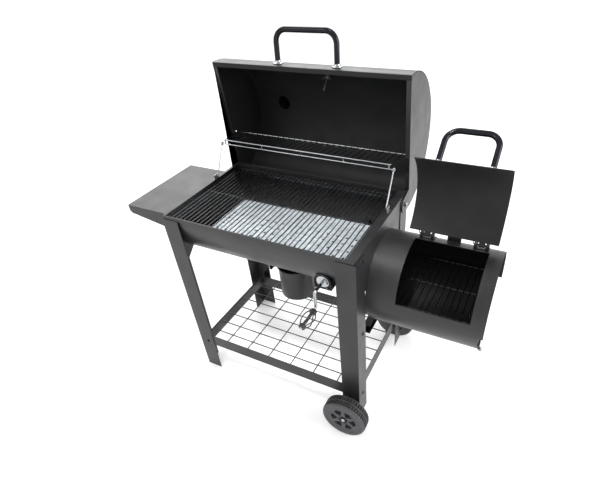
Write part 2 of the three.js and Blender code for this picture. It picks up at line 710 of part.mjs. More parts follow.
// ---------- ash outlet and bucket ----------
const bucketTop = tubBottom - 30;
const bucketFloor = bucketTop - bucketHeight;
const bucketRim = bucketRadius + 5;
const collar = discZ(bucketX, 0, bucketTop + 4, tubBottom + 12, outletRadius, 24);
const collarBore = discZ(bucketX, 0, bucketTop, tubBottom + 20, outletRadius - sheet, 24);
add('ash_collar', cut(collar, tubForm(), collarBore), darkPaint);

function bucket() {
  const [r, z0, z1] = [bucketRadius, bucketFloor, bucketTop];
  const profile = [[0, z0], [r, z0], [r, z1 - sheet], [bucketRim, z1 - sheet], [bucketRim, z1],
    [r - sheet, z1], [r - sheet, z0 + sheet], [0, z0 + sheet]];
  const lathe = new THREE.LatheGeometry(profile.map(([u, v]) => new THREE.Vector2(u, v)), 28);
  return geometryOf(solid(lathe.rotateX(Math.PI / 2).translate(bucketX, 0, 0)));
}
add('ash_bucket', bucket(), steelPaint);

for (const [name, side] of sides) {
  const near = bucketX + side * (bucketRim + slip);
  const out = near + side * sheet;
  const wall = block(...ascending(near, out), -58, 58, bucketTop - 8, tubBottom + 30);
  const under = ascending(bucketX + side * (bucketRadius + slip), out);
  const ledge = block(...under, -58, 58, bucketTop - 8, bucketTop - sheet - gap);
  add(`bucket_rail_${name}`, cut(join(wall, ledge), tubForm()), darkPaint);
}

// ---------- side table ----------
function sideTable() {
  const inner = -legOuter - gap;
  const outer = inner - tableLength;
  const apron = outline([[outer, tableTop], [inner, tableTop], [inner, tableTop - tableApronInner],
    [outer + 8, tableTop - tableApronOuter], [outer, tableTop - tableApronOuter + 8]]);
  const front = alongY(apron, tableFront, tableFront + sheet);
  const back = alongY(apron, tableBack - sheet, tableBack);
  const top = block(outer, inner, tableFront, tableBack, tableTop - sheet, tableTop);
  const end = block(outer, outer + sheet, tableFront, tableBack, tableTop - tableApronOuter + 8, tableTop);
  const root = block(inner - sheet, inner, tableFront, tableBack, tableTop - tableApronInner, tableTop);
  return join(top, front, back, end, root);
}
add('side_table', sideTable(), steelPaint);

// ---------- shelf ----------
const railZ = [shelfTop - railHeight, shelfTop];
const railFrontY = -legPlane + sheet + gap;
const railBackY = legPlane - sheet - gap;
const shelfBackY = legPlane - 28;
const frontRail = block(-legOuter + 5, legInner - gap, railFrontY, railFrontY + sheet, ...railZ);
add('shelf_rail_front', frontRail, steelPaint);
const crossRails = [['left', shelfLeft], ['right', shelfRight]];
for (const [name, x] of crossRails) {
  const rail = block(x, x + sheet, railFrontY + sheet + gap, railBackY, ...railZ);
  add(`shelf_rail_${name}`, rail, steelPaint);
}
const rearRailX = [shelfLeft + sheet + gap, shelfRight - gap];
add('shelf_rail_rear', block(...rearRailX, shelfBackY - sheet, shelfBackY, ...railZ), steelPaint);

function shelfMesh() {
  const [x0, x1] = [shelfLeft + sheet + gap, shelfRight - gap];
  const [y0, y1] = [railFrontY + sheet + gap, shelfBackY - sheet - gap];
  const z = shelfTop - wireRadius;
  const parts = [];
  for (let y = y0 + 33; y < y1 - 10; y += 46.5) parts.push(bar([x0, y, z], [x1, y, z], wireRadius, 5));
  for (let x = x0 + 2; x < x1; x += 87.8) parts.push(bar([x, y0, z - 3.4], [x, y1, z - 3.4], wireRadius, 5));
  return join(...parts);
}
add('shelf_mesh', shelfMesh(), darkPaint);

// ---------- wheels ----------
const hubRadius = wheelRadius - tyreDepth;
const wheelSides = 40;
function tyre(y0, y1) {
  const [r, h] = [wheelRadius, hubRadius + gap];
  const half = wheelWidth / 2;
  const outer = [[r - 6, -half], [r, -half + 6], [r, half - 6], [r - 6, half]];
  const profile = [[h, -half], ...outer, [h, half], [h, -half]];
  const lathe = new THREE.LatheGeometry(profile.map(([u, v]) => new THREE.Vector2(u, v)), wheelSides);
  return geometryOf(solid(lathe.translate(wheelX, (y0 + y1) / 2, wheelRadius)));
}

function hub(y0, y1) {
  const disc = discY(wheelX, y0 + 5, y1 - 5, wheelRadius, hubRadius, wheelSides);
  const windows = [];
  for (let k = 0; k < 6; k += 1) {
    const turn = (Math.PI * k) / 3;
    const at = (radius, offset) => [
      wheelX + radius * Math.cos(turn) - offset * Math.sin(turn),
      wheelRadius + radius * Math.sin(turn) + offset * Math.cos(turn),
    ];
    const [corner, bulge] = [hubRadius - 14, hubRadius - 9];
    windows.push(alongY(outline([at(21, 0), at(corner, -19), at(bulge, 0), at(corner, 19)]), y0, y1));
  }
  return cut(disc, ...windows, discY(wheelX, y0, y1, wheelRadius, axleRadius + gap, 16));
}

for (const [name, end] of [['front', -1], ['rear', 1]]) {
  const [y0, y1] = ascending(end * wheelFace, end * (wheelFace - wheelWidth));
  add(`wheel_tyre_${name}`, tyre(y0, y1), rubber);
  add(`wheel_hub_${name}`, hub(y0, y1), hubPlastic);
}
const capOut = wheelFace - 5 + gap;
const axleParts = [discY(wheelX, -capOut - 6, capOut + 6, wheelRadius, axleRadius, 16)];
for (const s of [-1, 1]) {
  const capY = ascending(s * capOut, s * (capOut + 5));
  axleParts.push(discY(wheelX, ...capY, wheelRadius, 10, 16));
}
add('axle', join(...axleParts), zinc);

// ---------- firebox ----------
const innerShell = boxRadius - sheet - gap;
const lowerRight = boxRight - 12;
function upperShell() {
  const wall = alongX(ringPart(0, boxHeight, boxRadius - sheet, boxRadius, -8, 188), boxLeft, boxRight, 32);
  const mouth = ringPart(0, boxHeight, boxRadius - 20, boxRadius + 20, openingBack, openingFront);
  return cut(wall, alongX(mouth, openingLeft, openingRight, 20));
}
add('firebox_upper_shell', upperShell(), steelPaint);
const lowerWall = ringPart(0, boxHeight, innerShell - sheet, innerShell, 180, 360);
add('firebox_lower_shell', alongX(lowerWall, boxLeft, lowerRight, 28), steelPaint);

const fireGrateTop = boxHeight + 13;
const fireLedge = fireGrateTop - 2 * rodSize;
const fireGrateHalf = innerShell - 8.7;
function boxEnd(x0, x1, inward) {
  const shape = new THREE.Shape();
  shape.absarc(0, boxHeight, innerShell, rad(1), rad(179), false);
  shape.absarc(0, boxHeight, innerShell - sheet - gap, rad(180), rad(360), false);
  shape.closePath();
  const inside = inward > 0 ? [x1 - 0.5, x1 + 10] : [x0 - 10, x0 + 0.5];
  const ledgeY = (s) => ascending(s * (fireGrateHalf - 17), s * (fireGrateHalf + 1));
  const ledges = [-1, 1].map((s) => block(...inside, ...ledgeY(s), fireLedge - 2, fireLedge));
  return join(alongX(shape, x0, x1, 22), ...ledges);
}
add('firebox_end_left', cut(boxEnd(boxLeft, boxLeft + sheet, 1), smokePort), steelPaint);
const endX = lowerRight - 4;
const knobRadius = 6;
const damperPivot = { y: -45, z: boxHeight - 47 };
function ventSlots(x0, x1, turn) {
  return [0, 120, 240].map((degrees) => {
    const angle = rad(degrees + turn);
    const y = damperPivot.y + 24 * Math.cos(angle);
    return discX(x0, x1, y, damperPivot.z + 24 * Math.sin(angle), 9, 12);
  });
}
const pivotHole = discX(endX - 9, endX + 9, damperPivot.y, damperPivot.z, pinRadius / 2 + gap, 12);
const rightEnd = boxEnd(endX - sheet, endX, -1);
add('firebox_end_right', cut(rightEnd, ...ventSlots(endX - 9, endX + 9, 90), pivotHole), steelPaint);

function damper() {
  const x = [endX + gap, endX + gap + sheet];
  const disc = discX(...x, damperPivot.y, damperPivot.z, 38, 24);
  const tip = { y: damperPivot.y - 55, z: damperPivot.z - 46 };
  const clear = lowerRight + slip + knobRadius;
  const boss = discX(x[0], clear - 1, damperPivot.y, damperPivot.z, 4, 12);
  const lever = bar([clear - 3, damperPivot.y, damperPivot.z], [clear - 3, tip.y, tip.z], 2, 8);
  const knob = new THREE.SphereGeometry(knobRadius, 12, 8).translate(clear, tip.y, tip.z);
  const pivot = discX(endX - 6, x[1], damperPivot.y, damperPivot.z, pinRadius / 2, 12);
  const plate = cut(disc, ...ventSlots(x[0] - 5, x[1] + 5, 90));
  return join(plate, boss, pivot, lever, knob);
}
add('firebox_damper', damper(), steelPaint);

// Channel under the tub's end that the firebox rests its weight against.
const supportEnd = boxLeft - gap;
const supportFoot = boxHeight - boxRadius - 20;
const support = block(supportEnd - 22, supportEnd, -105, 105, supportFoot, supportFoot + 32);
const hollowZ = [supportFoot + sheet, supportFoot + 32 - sheet];
const supportHollow = block(supportEnd - 22 + sheet, supportEnd + 5, -110, 110, ...hollowZ);
add('firebox_support', cut(support, supportHollow), darkPaint);

function fireGrate() {
  const [x0, x1] = [boxLeft + sheet + 4, endX - sheet - 4];
  const parts = [];
  const count = 17;
  for (let i = 0; i < count; i += 1) {
    const x = x0 + 6 + ((x1 - x0 - 12) * i) / (count - 1);
    parts.push(block(x - 2, x + 2, -fireGrateHalf, fireGrateHalf, fireGrateTop - rodSize, fireGrateTop));
  }
  for (const y of [8 - fireGrateHalf, 0, fireGrateHalf - 8]) {
    parts.push(block(x0, x1, y - 2, y + 2, fireLedge + gap, fireGrateTop - rodSize + gap));
  }
  return join(...parts);
}
add('firebox_grate', fireGrate(), enamel);

// ---------- firebox hatch, built closed and swung open about its hinge ----------
const hingeRadius = boxRadius + hingeStandoff;
const hinge = {
  y: hingeRadius * Math.cos(rad(hingeAngle)),
  z: boxHeight + hingeRadius * Math.sin(rad(hingeAngle)),
};
const hatchInner = boxRadius + 2;
const hatchOuter = hatchInner + sheet;
const hatchBack = 77;
const hatchFront = 172.5;
const hingePlaces = [openingLeft + 28, openingRight - 25];
const hatchOpened = (geometry) => swing(geometry, hinge.y, hinge.z, -hatchOpen);

function hatch() {
  const x = [openingLeft - hatchOverlap - 5, openingRight + hatchOverlap];
  const parts = [alongX(ringPart(0, boxHeight, hatchInner, hatchOuter, hatchBack, hatchFront), ...x, 24)];
  for (const place of hingePlaces) {
    const strap = ringPart(0, boxHeight, hatchOuter - 0.5, hatchOuter + 2, hatchBack, 88);
    parts.push(alongX(strap, place - 8, place + 8, 4));
    parts.push(discX(place - 8, place + 8, hinge.y, hinge.z, 6, 16));
    const webEnds = [[-18, -6], [-6, -8.5], [0, -5], [0, 5], [-18, -1]];
    const web = outline(webEnds.map(([y, z]) => [hinge.y + y, hinge.z + z]));
    parts.push(alongX(web, place - 8, place + 8));
  }
  const pins = hingePlaces.map((place) => discX(place - 12, place + 12, hinge.y, hinge.z, 3 + gap, 12));
  return cut(join(...parts), ...pins);
}
add('hatch', hatchOpened(hatch()), steelPaint);
const openingMiddle = (openingLeft + openingRight) / 2;
const hatchHandle = bowHandle(hatchHandleSpan, hatchHandleHeight).translate(openingMiddle, 0, 0);
add('hatch_handle', hatchOpened(onDrum(hatchHandle, hatchOuter + gap, 162, boxHeight)), chrome);

const drumForm = () => discX(boxLeft, boxRight, 0, boxHeight, boxRadius + gap, 96);
for (const [name, place] of [['left', hingePlaces[0]], ['right', hingePlaces[1]]]) {
  const parts = [discX(place - 20, place + 20, hinge.y, hinge.z, 3, 12)];
  for (const s of [-1, 1]) {
    const x = ascending(place + s * 11, place + s * 20);
    parts.push(block(...x, hinge.y - 4.5, hinge.y + 6, hinge.z - 42, hinge.z + 3));
  }
  const leaf = ringPart(0, boxHeight, boxRadius - 5, boxRadius + gap + 2, 60, 76);
  const bent = alongX(leaf, place - 20, place + 20, 4);
  add(`hatch_hinge_${name}`, cut(join(bent, ...parts), drumForm()), zinc);
}

const tabX = [openingMiddle - 19, openingMiddle + 19];
const stopTab = block(...tabX, hinge.y + 14, hinge.y + 16, hinge.z - 42, hinge.z + 26);
add('hatch_stop', cut(stopTab, drumForm()), steelPaint);

// ---------- origin: the middle of the underside of the whole object's box ----------
const whole = new THREE.Box3().setFromObject(object);
const centre = whole.getCenter(new THREE.Vector3());
object.position.set(-centre.x, -centre.y, -whole.min.z);

export default object;
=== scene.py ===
import math
import bmesh
import bpy
import numpy as np
from mathutils import Matrix, Vector


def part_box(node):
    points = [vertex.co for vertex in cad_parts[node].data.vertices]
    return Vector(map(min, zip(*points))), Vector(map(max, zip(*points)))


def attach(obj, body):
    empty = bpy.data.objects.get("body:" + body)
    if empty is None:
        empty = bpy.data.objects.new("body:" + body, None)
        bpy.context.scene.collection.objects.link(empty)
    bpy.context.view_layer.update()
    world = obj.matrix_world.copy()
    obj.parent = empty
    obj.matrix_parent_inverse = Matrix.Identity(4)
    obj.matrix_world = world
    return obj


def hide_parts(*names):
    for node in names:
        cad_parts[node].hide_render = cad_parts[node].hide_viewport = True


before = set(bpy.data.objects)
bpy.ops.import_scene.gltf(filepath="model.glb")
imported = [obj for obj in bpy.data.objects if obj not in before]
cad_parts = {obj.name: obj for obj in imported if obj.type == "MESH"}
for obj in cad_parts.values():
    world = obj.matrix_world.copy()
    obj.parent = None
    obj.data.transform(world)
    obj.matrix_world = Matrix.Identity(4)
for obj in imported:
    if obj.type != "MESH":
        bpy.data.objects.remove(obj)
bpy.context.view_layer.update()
mm = 0.001


def nodeBox(node):  # lowest and highest corner of a CAD node, in millimetres
    low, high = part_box(node)
    return np.array(low) / mm, np.array(high) / mm


tubLow, tubHigh = nodeBox("tub_shell")
# All lengths below are in millimetres from the point on the floor under the tub's middle.
origin = np.array([(tubLow[0] + tubHigh[0]) / 2, (tubLow[1] + tubHigh[1]) / 2, 0.0])


# ---- shapes: each is (points, faces), and join() puts several into one ----

def join(*shapes):
    points, faces, start = [], [], 0
    for some, theirs in shapes:
        points.append(np.asarray(some, float).reshape(-1, 3))
        faces += [[start + i for i in face] for face in theirs]
        start += len(points[-1])
    return np.concatenate(points), faces


def quads(rows, cols, wrapRows=False, wrapCols=False):
    # the four corners of every cell of a grid, with the last row or column joined to the first if it wraps
    r = np.arange(rows if wrapRows else rows - 1)[:, None]
    c = np.arange(cols if wrapCols else cols - 1)[None, :]
    corner = lambda i, j: (i % rows) * cols + j % cols
    cells = np.stack([corner(r, c), corner(r, c + 1), corner(r + 1, c + 1), corner(r + 1, c)], axis=-1)
    return cells.reshape(-1, 4).tolist()


def unit(vectors):
    length = np.linalg.norm(vectors, axis=-1, keepdims=True)
    return vectors / np.maximum(length, 1e-9)


def headings(path, closed=False):
    # direction at each point: the mean of the unit steps before and after it
    steps = unit(np.diff(path, axis=0, append=path[:1] if closed else path[-1:]))
    if closed:
        return unit(steps + np.roll(steps, 1, axis=0))
    steps = steps[:-1]
    return unit(np.vstack([steps, steps[-1:]]) + np.vstack([steps[:1], steps]))


def circle(radius, sides, turn=0.5):
    angle = (np.arange(sides) + turn) * 2 * np.pi / sides
    return np.stack([radius * np.cos(angle), radius * np.sin(angle)], axis=1)


def carried(path, profile, reference=(0, 0, 1), closed=False, scale=None):
    # profile (u, v) carried along a path: point = path + u * side + v * up, side = heading x reference
    path, profile = np.asarray(path, float), np.asarray(profile, float)
    heading = headings(path, closed)
    side = unit(np.cross(heading, np.asarray(reference, float)))
    up = np.cross(side, heading)
    size = np.ones(len(path)) if scale is None else np.asarray(scale, float)
    u, v = profile[None, :, 0, None], profile[None, :, 1, None]
    points = path[:, None] + size[:, None, None] * (u * side[:, None] + v * up[:, None])
    faces = quads(len(path), len(profile), closed, True)
    if not closed:
        last = (len(path) - 1) * len(profile)
        faces += [list(range(len(profile))), list(range(last, last + len(profile)))[::-1]]
    return points.reshape(-1, 3), faces


def bentPath(corners, radius, steps=8):
    # straight runs joined by arcs that touch both runs, at radius / tan(half angle) from each corner
    corners = np.asarray(corners, float)
    path = [corners[0][None]]
    for before, at, after in zip(corners[:-2], corners[1:-1], corners[2:]):
        a, b = unit(before - at), unit(after - at)
        half = math.acos(float(np.clip(a @ b, -1, 1))) / 2
        middle = at + unit(a + b) * radius / math.sin(half)
        reach = radius / math.tan(half)
        share = np.linspace(0, 1, steps + 1)[:, None]
        chord = (at + a * reach) * (1 - share) + (at + b * reach) * share
        path.append(middle + unit(chord - middle) * radius)
    path.append(corners[-1][None])
    return np.concatenate(path)


def rod(start, end, radius, sides=10, dome=0.3):
    # a round bar whose ends narrow over the last bit of its length
    start, end = np.asarray(start, float), np.asarray(end, float)
    along = unit(end - start)
    soft = radius * dome
    path = np.stack([start, start + along * soft, end - along * soft, end])
    reference = (0, 0, 1) if abs(along[2]) < 0.9 else (1, 0, 0)
    return carried(path, circle(radius, sides), reference, scale=[1 - dome, 1, 1, 1 - dome])


def wire(corners, radius, bend, sides=10, reference=(0, 0, 1), steps=6):
    return carried(bentPath(corners, bend, steps), circle(radius, sides), reference)


def turned(profile, centre, axis=(0, 0, 1), sides=48, ring=False):
    # profile (radius, height) turned round an axis: centre + radius * (cos, sin) + height * axis
    profile, axis = np.asarray(profile, float), unit(np.asarray(axis, float))
    first = unit(np.cross(axis, (0.0, 0, 1) if abs(axis[2]) < 0.9 else (1.0, 0, 0)))
    second = np.cross(axis, first)
    angle = np.arange(sides) * 2 * np.pi / sides
    spoke = np.cos(angle)[:, None] * first + np.sin(angle)[:, None] * second
    radius = profile[:, 0][None] * np.ones((sides, 1))
    points = np.asarray(centre, float) + radius[..., None] * spoke[:, None] + profile[None, :, 1, None] * axis
    return points.reshape(-1, 3), quads(sides, len(profile), True, ring)


planes = {"x": (1, 2, 0), "y": (0, 2, 1), "z": (0, 1, 2)}  # the section's two axes, then the one it runs along


def bentSheet(section, thickness, start, stop, along="x", steps=1):
    # a centre line moved half a thickness to each side along its normal, and carried straight
    section = np.asarray(section, float)
    stepsOut = unit(np.diff(section, axis=0))
    mean = headings(np.column_stack([section, np.zeros(len(section))]))[:, :2]
    near = np.vstack([stepsOut, stepsOut[-1:]])
    spread = 1 / np.clip((mean * near).sum(1), 0.5, 1)
    normal = np.column_stack([-mean[:, 1], mean[:, 0]]) * (spread * thickness / 2)[:, None]
    loop = np.concatenate([section + normal, (section - normal)[::-1]])
    count, runs = len(section), steps + 1
    a, b, c = planes[along]
    points = np.zeros((runs, 2 * count, 3))
    points[..., a], points[..., b] = loop[None, :, 0], loop[None, :, 1]
    points[..., c] = np.linspace(start, stop, runs)[:, None]
    faces = quads(runs, 2 * count, False, True)
    i = np.arange(count - 1)
    cap = np.stack([i, i + 1, 2 * count - 2 - i, 2 * count - 1 - i], axis=1)
    faces += cap.tolist() + (cap[:, ::-1] + (runs - 1) * 2 * count).tolist()
    return points.reshape(-1, 3), faces


def prism(outline, start, stop, along="y"):
    # a flat outline carried straight, closed at both ends
    outline = np.asarray(outline, float)
    a, b, c = planes[along]
    points = np.zeros((2, len(outline), 3))
    points[..., a], points[..., b] = outline[None, :, 0], outline[None, :, 1]
    points[..., c] = np.array([start, stop])[:, None]
    count = len(outline)
    faces = quads(2, count, False, True) + [list(range(count))[::-1], list(range(count, 2 * count))]
    return points.reshape(-1, 3), faces


def block(low, high):
    (x0, y0, z0), (x1, y1, z1) = low, high
    return prism([(x0, y0), (x1, y0), (x1, y1), (x0, y1)], z0, z1, "z")


def arc(centreY, centreZ, radius, start, stop, count):
    angle = np.radians(np.linspace(start, stop, count))
    return np.stack([centreY + radius * np.cos(angle), centreZ + radius * np.sin(angle)], axis=1)


def swung(shape, pivot, degrees):
    # turned about an axis along X through the pivot: +Y moves towards +Z
    points, faces = shape
    c, s = math.cos(math.radians(degrees)), math.sin(math.radians(degrees))
    offset = np.asarray(points, float) - [0, pivot[1], pivot[2]]
    moved = np.stack([offset[:, 0], c * offset[:, 1] - s * offset[:, 2], s * offset[:, 1] + c * offset[:, 2]], axis=1)
    return moved + [0, pivot[1], pivot[2]], faces


def onDrum(shape, radius, degrees, axisHeight):
    # a shape standing on z = 0 set on a drum along X, at an angle round it
    points, faces = shape
    lifted = np.asarray(points, float) + [0, 0, radius]
    leaned, faces = swung((lifted, faces), (0, 0, 0), degrees - 90)
    return leaned + [0, 0, axisHeight], faces


def moved(shape, x=0, y=0, z=0):
    return np.asarray(shape[0], float) + [x, y, z], shape[1]


def makePiece(name, shape, material, body, stands=(), crease=35, bevel=0, holes=(), inside=None):
    points, faces = shape
    mesh = bpy.data.meshes.new(name)
    mesh.from_pydata(((np.asarray(points) + origin) * mm).tolist(), [], faces)
    work = bmesh.new()
    work.from_mesh(mesh)
    bmesh.ops.remove_doubles(work, verts=work.verts, dist=1e-6)
    bmesh.ops.recalc_face_normals(work, faces=work.faces)
    work.to_mesh(mesh)
    work.free()
    return finishPiece(name, mesh, material, body, stands, crease, bevel, holes, inside)


def paintShadeInside(mesh, inside):
    # faces nearer the drum's axis than the sheet's middle take the second material: the near-black painted shade of
    # the drum's inside
    material, axisY, axisZ, radius = inside
    mesh.materials.append(material)
    count = len(mesh.polygons)
    centres = np.zeros(count * 3)
    mesh.polygons.foreach_get("center", centres)
    centres = centres.reshape(-1, 3) / mm - origin
    distance = np.hypot(centres[:, 1] - axisY, centres[:, 2] - axisZ)
    mesh.polygons.foreach_set("material_index", (distance < radius).astype(np.int32))


def finishPiece(name, mesh, material, body, stands, crease, bevel, holes, inside=None):
    piece = bpy.data.objects.new(name, mesh)
    bpy.context.scene.collection.objects.link(piece)
    if holes:
        cutter = makeCutter(holes)
        cutting = piece.modifiers.new("holes", "BOOLEAN")
        cutting.operation, cutting.solver, cutting.object = "DIFFERENCE", "EXACT", cutter
        baked = piece.evaluated_get(bpy.context.evaluated_depsgraph_get())
        cut = bpy.data.meshes.new_from_object(baked)
        piece.modifiers.clear()
        piece.data = cut
        bpy.data.objects.remove(cutter)
        mesh = cut
    mesh.shade_smooth()
    mesh.set_sharp_from_angle(angle=math.radians(crease))
    mesh.materials.clear()
    mesh.materials.append(material)
    if inside:
        paintShadeInside(mesh, inside)
    if bevel:
        edge = piece.modifiers.new("edge", "BEVEL")
        edge.width, edge.segments, edge.limit_method = bevel * mm, 2, "ANGLE"
        edge.angle_limit, edge.harden_normals = math.radians(40), True
    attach(piece, body)
    if stands:
        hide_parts(*stands)
    return piece


def makeCutter(holes):
    points, faces = join(*holes)
    mesh = bpy.data.meshes.new("cutter")
    mesh.from_pydata(((points + origin) * mm).tolist(), [], faces)
    work = bmesh.new()
    work.from_mesh(mesh)
    bmesh.ops.remove_doubles(work, verts=work.verts, dist=1e-6)
    bmesh.ops.recalc_face_normals(work, faces=work.faces)
    work.to_mesh(mesh)
    work.free()
    cutter = bpy.data.objects.new("cutter", mesh)
    bpy.context.scene.collection.objects.link(cutter)
    return cutter


def finishNode(node, material, body, bevel=0.5):
    # a CAD node's own shape, its loose triangles merged and flat faces joined, with softened edges
    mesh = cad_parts[node].data.copy()
    work = bmesh.new()
    work.from_mesh(mesh)
    bmesh.ops.remove_doubles(work, verts=work.verts, dist=1e-6)
    bmesh.ops.dissolve_limit(work, angle_limit=math.radians(0.4), verts=work.verts, edges=work.edges)
    work.to_mesh(mesh)
    work.free()
    return finishPiece(node + "_finished", mesh, material, body, (node,), 30, bevel, ())


# ---- materials ----

def linear(hexColour):  # sRGB hex to linear: ((c + 0.055) / 1.055) ** 2.4, or c / 12.92 when dark
    channels = [int(hexColour[i:i + 2], 16) / 255 for i in (1, 3, 5)]
    return tuple(c / 12.92 if c <= 0.04045 else ((c + 0.055) / 1.055) ** 2.4 for c in channels) + (1.0,)


def addNode(tree, kind, settings=None, links=None, **attributes):
    node = tree.nodes.new(kind)
    for key, value in attributes.items():
        setattr(node, key, value)
    for key, value in (settings or {}).items():
        node.inputs[key].default_value = value
    for key, source in (links or {}).items():
        tree.links.new(source, node.inputs[key])
    return node


def newSurface(name):
    material = bpy.data.materials.new(name)
    material.use_nodes = True
    tree = material.node_tree
    place = addNode(tree, "ShaderNodeTexCoord").outputs["Object"]
    return material, tree, tree.nodes["Principled BSDF"], place


def noise(tree, place, size, detail=2.0, rough=0.5):
    # size is the pattern's feature size in millimetres
    settings = {"Scale": 1 / (size * mm), "Detail": detail, "Roughness": rough}
    return addNode(tree, "ShaderNodeTexNoise", settings, {"Vector": place}).outputs[0]


def ramp(tree, factor, low, high, fromLow=0.3, fromHigh=0.7):
    settings = {"From Min": fromLow, "From Max": fromHigh, "To Min": low, "To Max": high}
    return addNode(tree, "ShaderNodeMapRange", settings, {"Value": factor}).outputs[0]


def blendColours(tree, factor, first, second):
    node = addNode(tree, "ShaderNodeMix", data_type="RGBA")
    for index, colour in ((6, first), (7, second)):
        if isinstance(colour, tuple):
            node.inputs[index].default_value = colour
        else:
            tree.links.new(colour, node.inputs[index])
    tree.links.new(factor, node.inputs[0])
    return node.outputs[2]


def upward(tree):  # 1 on faces that look up, 0 on the rest
    normal = addNode(tree, "ShaderNodeNewGeometry").outputs["Normal"]
    height = addNode(tree, "ShaderNodeSeparateXYZ", None, {0: normal}).outputs[2]
    return ramp(tree, height, 0, 1, 0.35, 0.95)


def product(tree, first, second):
    return addNode(tree, "ShaderNodeMath", None, {0: first, 1: second}, operation="MULTIPLY").outputs[0]


def bumped(tree, shader, height, strength, depth):
    settings = {"Strength": strength, "Distance": depth * mm}
    node = addNode(tree, "ShaderNodeBump", settings, {"Height": height})
    tree.links.new(node.outputs[0], shader.inputs["Normal"])


def paint(name, base, worn, dust, rough, grain, depth, coat=0.0, dustShare=0.25):
    # baked-on paint: a fine orange peel that breaks the highlight up, patches a little duller where it has
    # been handled, and a thin pale dust on whatever faces up
    material, tree, shader, place = newSurface(name)
    patches = noise(tree, place, 90, 4)
    colour = blendColours(tree, ramp(tree, patches, 0, 1), linear(base), linear(worn))
    settled = product(tree, upward(tree), ramp(tree, noise(tree, place, 35, 5, 0.6), 0, dustShare, 0.35, 0.75))
    colour = blendColours(tree, settled, colour, linear(dust))
    tree.links.new(colour, shader.inputs["Base Color"])
    tree.links.new(ramp(tree, noise(tree, place, 60, 5), rough - 0.05, rough + 0.07), shader.inputs["Roughness"])
    shader.inputs["Coat Weight"].default_value = coat
    shader.inputs["Coat Roughness"].default_value = 0.3
    bumped(tree, shader, noise(tree, place, grain, 2), 0.25, depth)
    return material


def metal(name, base, shade, rough, spread, streak=40, grain=0.0, depth=0.02):
    # bare or plated metal: faint cloudy smudges that change the sharpness of what it mirrors
    material, tree, shader, place = newSurface(name)
    cloudy = noise(tree, place, streak, 4)
    colour = blendColours(tree, ramp(tree, cloudy, 0, 1), linear(base), linear(shade))
    tree.links.new(colour, shader.inputs["Base Color"])
    shader.inputs["Metallic"].default_value = 1.0
    tree.links.new(ramp(tree, noise(tree, place, streak / 3, 4), rough, rough + spread), shader.inputs["Roughness"])
    if grain:
        bumped(tree, shader, noise(tree, place, grain, 3), 0.2, depth)
    return material


def zincSheet(name):
    # hot-dip zinc: crystals some 9 mm across, each a slightly different grey and gloss
    material, tree, shader, place = newSurface(name)
    cells = addNode(tree, "ShaderNodeTexVoronoi", {"Scale": 1 / (9 * mm), "Randomness": 1.0}, {"Vector": place})
    tone = addNode(tree, "ShaderNodeSeparateXYZ", None, {0: cells.outputs["Color"]}).outputs[0]
    colour = blendColours(tree, ramp(tree, tone, 0, 1, 0, 1), linear("#B4BDC3"), linear("#DCE3E8"))
    tree.links.new(colour, shader.inputs["Base Color"])
    shader.inputs["Metallic"].default_value = 0.2
    tree.links.new(ramp(tree, tone, 0.38, 0.54, 0, 1), shader.inputs["Roughness"])
    bumped(tree, shader, noise(tree, place, 3, 3), 0.1, 0.02)
    return material


def moulded(name, base, worn, rough, grain, depth):
    # rubber or plastic: fine moulded grain, scuffed paler in patches
    material, tree, shader, place = newSurface(name)
    scuffs = ramp(tree, noise(tree, place, 14, 5, 0.65), 0, 1, 0.45, 0.75)
    tree.links.new(blendColours(tree, scuffs, linear(base), linear(worn)), shader.inputs["Base Color"])
    tree.links.new(ramp(tree, noise(tree, place, 30, 3), rough - 0.06, rough + 0.08), shader.inputs["Roughness"])
    bumped(tree, shader, noise(tree, place, grain, 2), 0.3, depth)
    return material


# satin black heat-resisting paint: soft broad highlights that follow the rolled steel
satinBlack = paint("satinBlackPaint", "#1C1C1E", "#212123", "#8B8A88", 0.4, 1.6, 0.05, 0.15, 0.05)
# the same paint darkened to near black, with nearly no highlight: painted shade, laid on the inner faces of the drums
# and over the firebox's end plates
paintedShadeBlack = paint("paintedShadeBlackPaint", "#070708", "#0B0B0C", "#5E5B58", 0.62, 1.6, 0.05, 0.0, 0.03)
# thinner matt black on the small brackets and rails
mattBlack = paint("mattBlackPaint", "#0F0F10", "#161617", "#6E6C69", 0.5, 1.2, 0.04, 0.0, 0.06)
# vitreous enamel: near black with a hard, bright edge highlight on every rod
enamelBlack = paint("blackEnamel", "#0B0B0D", "#111113", "#4A4846", 0.24, 4.0, 0.03, 0.8, 0.03)
# bright plate on the handles and wires: mirrors the studio, so it reads as black and white bands
brightChrome = metal("brightChrome", "#C9CCCF", "#B2B6BA", 0.05, 0.08)
# the same chrome on the handles' bars with its colour made dark, darker than the feet: a painted reflection of a dark
# ceiling
chromePaintedDark = metal("chromeWithPaintedDarkReflection", "#35363A", "#2B2C2F", 0.12, 0.08)
zincPlate = metal("zincPlate", "#A9ABAD", "#8D8F92", 0.28, 0.16, 18, 1.4)
galvanised = zincSheet("galvanisedSheet")
tyreRubber = moulded("tyreRubber", "#353537", "#4A4A4B", 0.72, 0.9, 0.08)
hubPlastic = moulded("mouldedHub", "#48484B", "#525255", 0.5, 1.3, 0.04)
stopRubber = moulded("stopRubber", "#1B1B1C", "#29292A", 0.8, 0.8, 0.06)
gripWire = paint("blackPlatedWire", "#1D1D20", "#2A2A2D", "#5E5D5B", 0.3, 2.0, 0.03, 0.4, 0.1)
dialFace = moulded("dialFace", "#E9E8E2", "#E2E0D8", 0.35, 2.0, 0.01)
dialInk = moulded("dialInk", "#151515", "#202020", 0.5, 2.0, 0.01)
dialRed = moulded("dialRed", "#B2261C", "#A3221A", 0.45, 2.0, 0.01)
print("materials ready")


